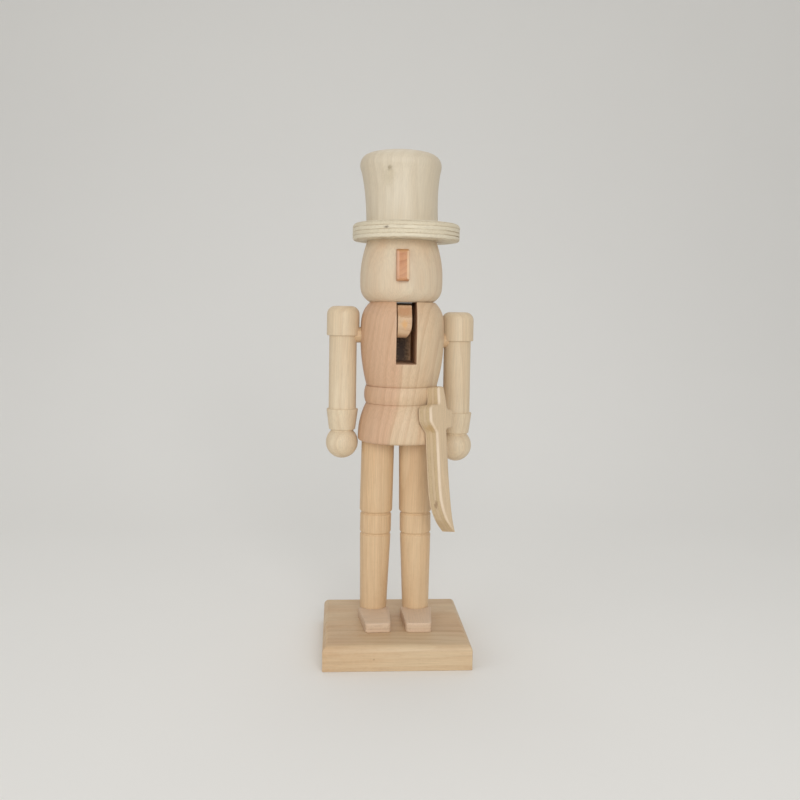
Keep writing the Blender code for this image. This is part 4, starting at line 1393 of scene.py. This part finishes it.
@dataclass
class Lever(Assembly):
    """The lever that turns on the pin: jaw in front, handle down the back."""

    trunk: Trunk
    play: float = 0.0016
    side_gap: float = 0.0006
    jaw_gap: float = 0.0020
    crest_gap: float = 0.0003
    chin_recess: float = 0.0012
    jaw_height: float = 0.0166
    lip_height: float = 0.0060
    lip_back: float = 0.0040
    top_round: float = 0.0006
    foot_round: float = 0.0050
    belly: float = 0.0060
    belly_round: float = 0.0028
    slope: float = math.radians(40.0)
    handle_gap: float = 0.0005
    handle_depth: float = 0.0080
    handle_length: float = 0.0595
    tail_length: float = 0.0120
    tail_gap: float = 0.0012
    handle_round: float = 0.0070
    tail_round: float = 0.0026
    neck_back: float = -0.0090
    neck_flare: float = 0.0020
    grip_width: float = 0.0112
    grip_drop: float = 0.0070
    grip_flare: float = 0.0030
    corner_height: float = 0.0085
    corner_width: float = 0.0030
    corner_power: float = 2.4
    edge: float = 0.0004
    run_gap: float = 0.0004

    @property
    def brow(self) -> float:
        """Height of the jaw's top above the pivot."""
        return self.trunk.pin_drop + SEAT_GAP - self.jaw_gap

    def outline(self) -> list[Point]:
        """Side view of the lever about its pivot.

        Returns:
            Points (back, up) from the jaw's top round its foot.
        """
        trunk, brow = self.trunk, self.brow
        knuckle = trunk.pin_drop + SEAT_GAP - self.crest_gap
        chin = -(trunk.torso_radius - self.chin_recess + trunk.pin_back)
        lip = math.sqrt(trunk.torso_radius ** 2 - (trunk.slot_width / 2 - abs(trunk.slot_shift)) ** 2)
        inner = lip + self.handle_gap - trunk.pin_back
        outer = inner + self.handle_depth
        tail = trunk.skirt_radius + self.tail_gap - trunk.pin_back
        tail_top = self.tail_length - self.handle_length
        crest = knuckle * math.tan(self.slope / 2)
        shoulder = knuckle - (outer - crest) * math.tan(self.slope)
        return rounded([
            (chin + self.lip_back, brow, self.top_round),
            (chin, brow - self.lip_height, self.top_round),
            (chin, brow - self.jaw_height, self.foot_round),
            (inner, -self.belly, self.belly_round),
            (inner, tail_top, self.handle_round),
            (tail, -self.handle_length, self.top_round),
            (tail + self.handle_depth, -self.handle_length, self.tail_round),
            (outer, tail_top, self.handle_round),
            (outer, shoulder, self.handle_round),
            (crest, knuckle, knuckle),
        ], closed=True)

    def shape(self) -> BMesh:
        """The lever about its pivot, widened at its neck and its grip and rounded at the jaw's corner.

        Returns:
            The shape.
        """
        aside = self.side_gap - self.play
        thin, thick = self.trunk.slot_width / 2 - self.play, self.trunk.slot_width / 2 - self.run_gap
        shape = sawn(self.outline(), aside - thin, aside + thin)
        foot = self.brow - self.jaw_height
        levels = [foot + self.corner_height * step / CORNER_STEPS for step in range(1, CORNER_STEPS + 1)]
        cuts = [((0.0, 0.0, height), (0.0, 0.0, 1.0))
                for height in levels + [-self.grip_drop, -self.grip_drop - self.grip_flare]]
        cuts += [((0.0, back, 0.0), (0.0, 1.0, 0.0))
                 for back in (self.neck_back, self.neck_back + self.neck_flare)]
        for spot, normal in cuts:
            everything = shape.verts[:] + shape.edges[:] + shape.faces[:]
            bmesh.ops.bisect_plane(shape, geom=everything, plane_co=spot, plane_no=normal)
        for vert in shape.verts:
            if vert.co.y > self.neck_back:
                neck = min(max((vert.co.y - self.neck_back) / self.neck_flare, 0.0), 1.0)
                grip = min(max((-self.grip_drop - vert.co.z) / self.grip_flare, 0.0), 1.0)
                half = thin + (thick - thin) * neck
                half += (self.grip_width / 2 - half) * grip
                middle = aside * (1.0 - max(neck, grip))
                vert.co.x = middle + math.copysign(half, vert.co.x - aside)
            elif vert.co.x > aside:
                share = min(max((levels[-1] - vert.co.z) / self.corner_height, 0.0), 1.0)
                vert.co.x -= self.corner_width * share ** self.corner_power
        ease(shape, arrises(shape), self.edge)
        return shape

    def build(self) -> None:
        """Model and dress the lever."""
        trunk = self.trunk
        pivot = self.stance.at(trunk.slot_shift, trunk.pin_back, trunk.height - trunk.pin_drop)
        lever = as_object("jaw_and_handle", self.shape(), pivot)
        bore = rod(trunk.pin_radius + self.run_gap, -trunk.slot_width, trunk.slot_width)
        carve(lever, bore, pivot @ LYING)
        grain = log_at(pivot, pith=(0.006, 0.0, 0.028), lean=(1.48, 0.0, 0.0))
        # Painted shade: a dark patch on the handle's inner face deep inside the slot.
        painted_slot_shade = MarkOrPaintedShade((0.0038, 0.0305, 0.1480), (0.0056, 0.0026, 0.0170), colour(80, 60, 50), 0.85)
        # Painted shade: a darker band across the jaw's upper face, under the head.
        lip = MarkOrPaintedShade((0.0028, -0.0094, 0.1704), (0.0070, 0.0060, 0.0040), colour(186, 134, 94), 0.75)
        spot = MarkOrPaintedShade((0.0027, -0.0107, 0.1637), (0.0021, 0.0030, 0.0032), colour(212, 160, 96), 0.75)
        self.finish(lever, Look.LEVER, "lever_basswood", grain, "jaw_lever", (painted_slot_shade, lip, spot), Body.JAW)


@dataclass
class Sword(Assembly):
    """The plywood sword, its flat face laid against the belt and the swell of the skirt."""

    trunk: Trunk
    thick: float = 0.0080
    bearing: float = math.radians(41.0)
    tilt: float = math.radians(4.5)
    shift: float = 0.0004
    hilt_width: float = 0.0046
    hilt_spread: float = 0.0019
    hilt_length: float = 0.0090
    hilt_round: float = 0.0015
    hilt_behind: float = 0.0024
    guard_front: float = 0.0040
    guard_back: float = 0.0052
    guard_front_length: float = 0.0140
    guard_back_length: float = 0.0096
    guard_taper: float = 0.0055
    blade_width: float = 0.0075
    blade_length: float = 0.0486
    blade_straight: float = 0.0162
    blade_sweep: float = 0.0019
    blade_power: float = 4.0
    spine_power: float = 2.0
    edge: float = 0.00145
    inner_edge: float = 0.0003
    point_fade: float = 0.0080
    first_layer: float = -0.0011
    seat_tries: int = 24

    def outline(self) -> list[Point]:
        """Outline from the front top corner, round the point and up the back.

        Returns:
            Points (back, up).
        """
        edge, spine = -self.blade_width / 2, self.blade_width / 2
        front = edge + self.hilt_behind
        back = front + self.hilt_width
        guard = -self.hilt_length
        guard_foot = guard - self.guard_front_length
        middle = guard - self.guard_front_length / 2
        half = self.guard_back_length / 2
        curve_top = guard_foot - self.blade_straight
        drop = self.blade_length - self.blade_straight
        corners = [
            (front, 0.0, self.hilt_round),
            (front, guard, self.hilt_round),
            (edge - self.guard_front, guard, self.guard_front),
            (edge - self.guard_front, guard_foot + self.guard_taper, self.guard_front),
            (edge, guard_foot, self.hilt_round),
        ]
        point = (spine + self.blade_sweep, curve_top - drop)
        belly = swell((edge, curve_top), point, self.blade_power)
        ridge = swell((spine, curve_top), point, self.spine_power, CURVE_STEPS // 2)
        corners += [(*place, 0.0) for place in belly + ridge[-2::-1]]
        corners += [
            (spine, middle - half, self.hilt_round),
            (spine + self.guard_back, middle - half, self.guard_back),
            (spine + self.guard_back, middle + half, self.guard_back),
            (back + self.hilt_spread, middle + half, self.hilt_round),
            (back, 0.0, self.hilt_round),
        ]
        return rounded(corners, closed=True)

    def place(self) -> Matrix:
        """Lay the sword against the hip.

        Returns:
            The frame of the sword, with Z up the hilt and X out of the hip.
        """
        trunk, belt = self.trunk, self.trunk.belt_middle
        heights = [trunk.skirt_height * step / self.seat_tries for step in range(1, self.seat_tries)]
        lean = max(math.atan2(trunk.radius_at(height) - trunk.belt_radius, belt - height)
                   for height in heights)
        away = trunk.belt_radius + SEAT_GAP / math.cos(lean)
        seat = self.stance.at(away * math.sin(self.bearing), -away * math.cos(self.bearing), belt)
        seat = seat @ Euler((-lean, 0.0, self.bearing)).to_matrix().to_4x4()
        top = Matrix.Translation((self.shift, 0.0, trunk.belt_height / 2 + SEAT_GAP))
        return seat @ top @ Matrix.Rotation(self.tilt, 4, "Y") @ Matrix.Rotation(-QUARTER, 4, "Z")

    def build(self) -> None:
        """Model and dress the sword."""
        here = self.place()
        levels = [(-GLUE_LINE, self.inner_edge), (self.inner_edge - GLUE_LINE, 0.0)]
        for step in range(CORNER_STEPS + 1):
            angle = QUARTER * step / CORNER_STEPS
            place = self.thick - self.edge * (1.0 - math.sin(angle))
            levels.append((place, self.edge * (1.0 - math.cos(angle))))
        sword = as_object("sword_board", sanded(self.outline(), levels, self.point_fade), here)
        sheet = here @ LYING @ Matrix.Translation((0.0, 0.0, self.first_layer))
        facing = here.to_3x3() @ Vector((HALF_WAY, -HALF_WAY, 0.0))
        burr = MarkOrPaintedShade((0.0155, -0.0153, 0.1130), (0.0044, 0.0044, 0.0028), colour(188, 150, 92), 0.5)
        mark = MarkOrPaintedShade((0.0188, -0.0190, 0.0760), (0.0013, 0.0020, 0.0030), colour(134, 100, 68), 0.6)
        # Painted highlight along the arris between the sword's front edge and its outer face.
        sheen = PaintedFacingLight(tuple(facing), 0.76, 1.0, colour(234, 216, 194), 0.6)
        self.finish(sword, Look.SWORD, "sword_plywood", sheet, "sword", (burr, mark, sheen))


@dataclass
class HiddenDowels(Assembly):
    """The glued dowels inside the joints, which keep their solids and get bare birch."""

    nodes: dict[str, Object]
    names: tuple[str, ...] = ("right_hip_dowel", "left_hip_dowel", "right_neck_dowel", "left_neck_dowel",
                              "hat_dowel")

    def build(self) -> None:
        """Dress the dowels' solids."""
        for name in self.names:
            low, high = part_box(name)
            grain = log_at(Matrix.Translation((low + high) / 2), pith=(0.010, 0.007, 0.0))
            mesh = self.nodes[name].data
            mesh.materials.clear()
            mesh.materials.append(Look.DOWEL.value.dress(name + "_birch", self.groups, grain))
            LOG.info("%s: kept as packed", name)


@dataclass
class Studio:
    """A pale sweep of floor and backdrop under soft lamps."""

    groups: Groups
    floor_colour: Triple = colour(240, 239, 236)
    floor_drift: float = 1.02
    floor_roughness: float = 0.8
    sky_colour: Triple = (1.0, 0.99, 0.97)
    half_width: float = 3.0
    front: float = -1.3
    back: float = 0.75
    bend: float = 0.5
    bend_steps: int = 16
    top: float = 1.7
    world_strength: float = 0.52
    backdrop_strength: float = 0.62
    spread: float = math.radians(110.0)

    def build(self) -> None:
        """Make the sweep, the lamps and the world."""
        self.sweep()
        self.lamp("key", place=(0.10, -0.88, 0.38), aim=(0.0, 0.0, 0.13), size=0.50, power=1.35)
        self.lamp("fill", place=(-0.75, -0.50, 0.34), aim=(0.0, 0.0, 0.12), size=0.70, power=0.48)
        self.lamp("top", place=(0.0, 0.40, 0.95), aim=(0.0, 0.0, 0.15), size=0.60, power=0.45)
        world = bpy.data.worlds.new("soft_room")
        world.use_nodes = True
        sky = world.node_tree.nodes["Background"].inputs
        graph = Graph(world.node_tree)
        path = graph.add("ShaderNodeLightPath").outputs
        seen = graph.math("ADD", graph.math("ADD", path["Is Camera Ray"], path["Is Glossy Ray"]),
                          path["Is Transmission Ray"])
        graph.feed(sky["Color"], self.sky_colour)
        graph.feed(sky["Strength"], graph.band(seen, 0.0, 1.0, self.world_strength, self.backdrop_strength))
        bpy.context.scene.world = world

    def sweep(self) -> None:
        """Bend the floor up into the backdrop."""
        shape = bmesh.new()
        line = rounded([(self.front, 0.0, 0.0), (self.back, 0.0, self.bend), (self.back, self.top, 0.0)],
                       steps=self.bend_steps)
        verts = [shape.verts.new((-self.half_width, back, up)) for back, up in line]
        edges = [shape.edges.new(pair) for pair in zip(verts, verts[1:])]
        grown = bmesh.ops.extrude_edge_only(shape, edges=edges)
        moved = [item for item in grown["geom"] if isinstance(item, BMVert)]
        bmesh.ops.translate(shape, verts=moved, vec=(2 * self.half_width, 0.0, 0.0))
        floor = as_object("pale_sweep", shape, Matrix())
        skin = Skin("pale_paper", self.groups)
        paler = tuple(self.floor_drift * value for value in self.floor_colour)
        clouds = skin.noise(skin.here, 9.0, 3.0)
        skin.feed(skin.inputs["Base Color"], skin.mix(clouds, self.floor_colour, paler))
        skin.feed(skin.inputs["Roughness"], self.floor_roughness)
        floor.data.materials.append(skin.material)
        floor.data.shade_smooth()

    def lamp(self, name: str, place: Triple, aim: Triple, size: float, power: float) -> None:
        """Hang a soft square lamp.

        Args:
            name: Name of the lamp.
            place: Where it hangs.
            aim: Where it points.
            size: Length of its side.
            power: Its power in watts.
        """
        light = bpy.data.lights.new(name, "AREA")
        light.size = size
        light.energy = power
        light.spread = self.spread
        lamp = bpy.data.objects.new(name, light)
        lamp.location = place
        lamp.rotation_euler = (Vector(aim) - Vector(place)).to_track_quat("-Z", "Y").to_euler()
        bpy.context.scene.collection.objects.link(lamp)


@dataclass
class PhotoCamera:
    """The camera at the photograph's place, worked out from the base's edges and the rims."""

    place: Triple = (-0.03019, -0.45007, 0.17000)
    yaw: float = math.radians(-4.016)
    pitch: float = math.radians(3.345)
    roll: float = math.radians(0.872)
    sensor: float = 36.0
    lens_in_widths: float = 897.50 / 800.0
    shift: float = -0.045
    clip_start: float = 0.01

    def build(self) -> None:
        """Set the camera up and make it the scene's own."""
        data = bpy.data.cameras.new("photo_camera")
        data.sensor_width = self.sensor
        data.lens = self.sensor * self.lens_in_widths
        data.shift_y = self.shift
        data.clip_start = self.clip_start
        camera = bpy.data.objects.new("photo_camera", data)
        aim = Matrix.Rotation(self.yaw, 4, "Z") @ Matrix.Rotation(QUARTER - self.pitch, 4, "X")
        camera.matrix_world = Matrix.Translation(self.place) @ aim @ Matrix.Rotation(self.roll, 4, "Z")
        bpy.context.scene.collection.objects.link(camera)
        bpy.context.scene.camera = camera


def main() -> None:
    """Build the scene from the base up."""
    logging.basicConfig(level=logging.INFO, format="%(name)s %(message)s")
    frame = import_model()
    bpy.context.scene.view_settings.view_transform = "Standard"
    groups = Groups()
    PhotoCamera().build()
    Studio(groups).build()
    shop = (Stance.read(), groups)
    trunk = Trunk(*shop)
    head = Head(*shop, trunk)
    assemblies = (
        Base(*shop),
        Leg(*shop, Side.RIGHT, foot_turn=math.radians(3.1)),
        Leg(*shop, Side.LEFT, foot_turn=math.radians(-1.2)),
        trunk,
        head,
        Hat(*shop, head),
        Arm(*shop, trunk, Side.RIGHT, bearing=math.pi),
        Arm(*shop, trunk, Side.LEFT, bearing=math.radians(12.0), drop=0.0023),
        Lever(*shop, trunk),
        Sword(*shop, trunk),
        HiddenDowels(*shop, frame["nodes"]),
    )
    for assembly in assemblies:
        assembly.build()


if __name__ == "__main__":
    main()
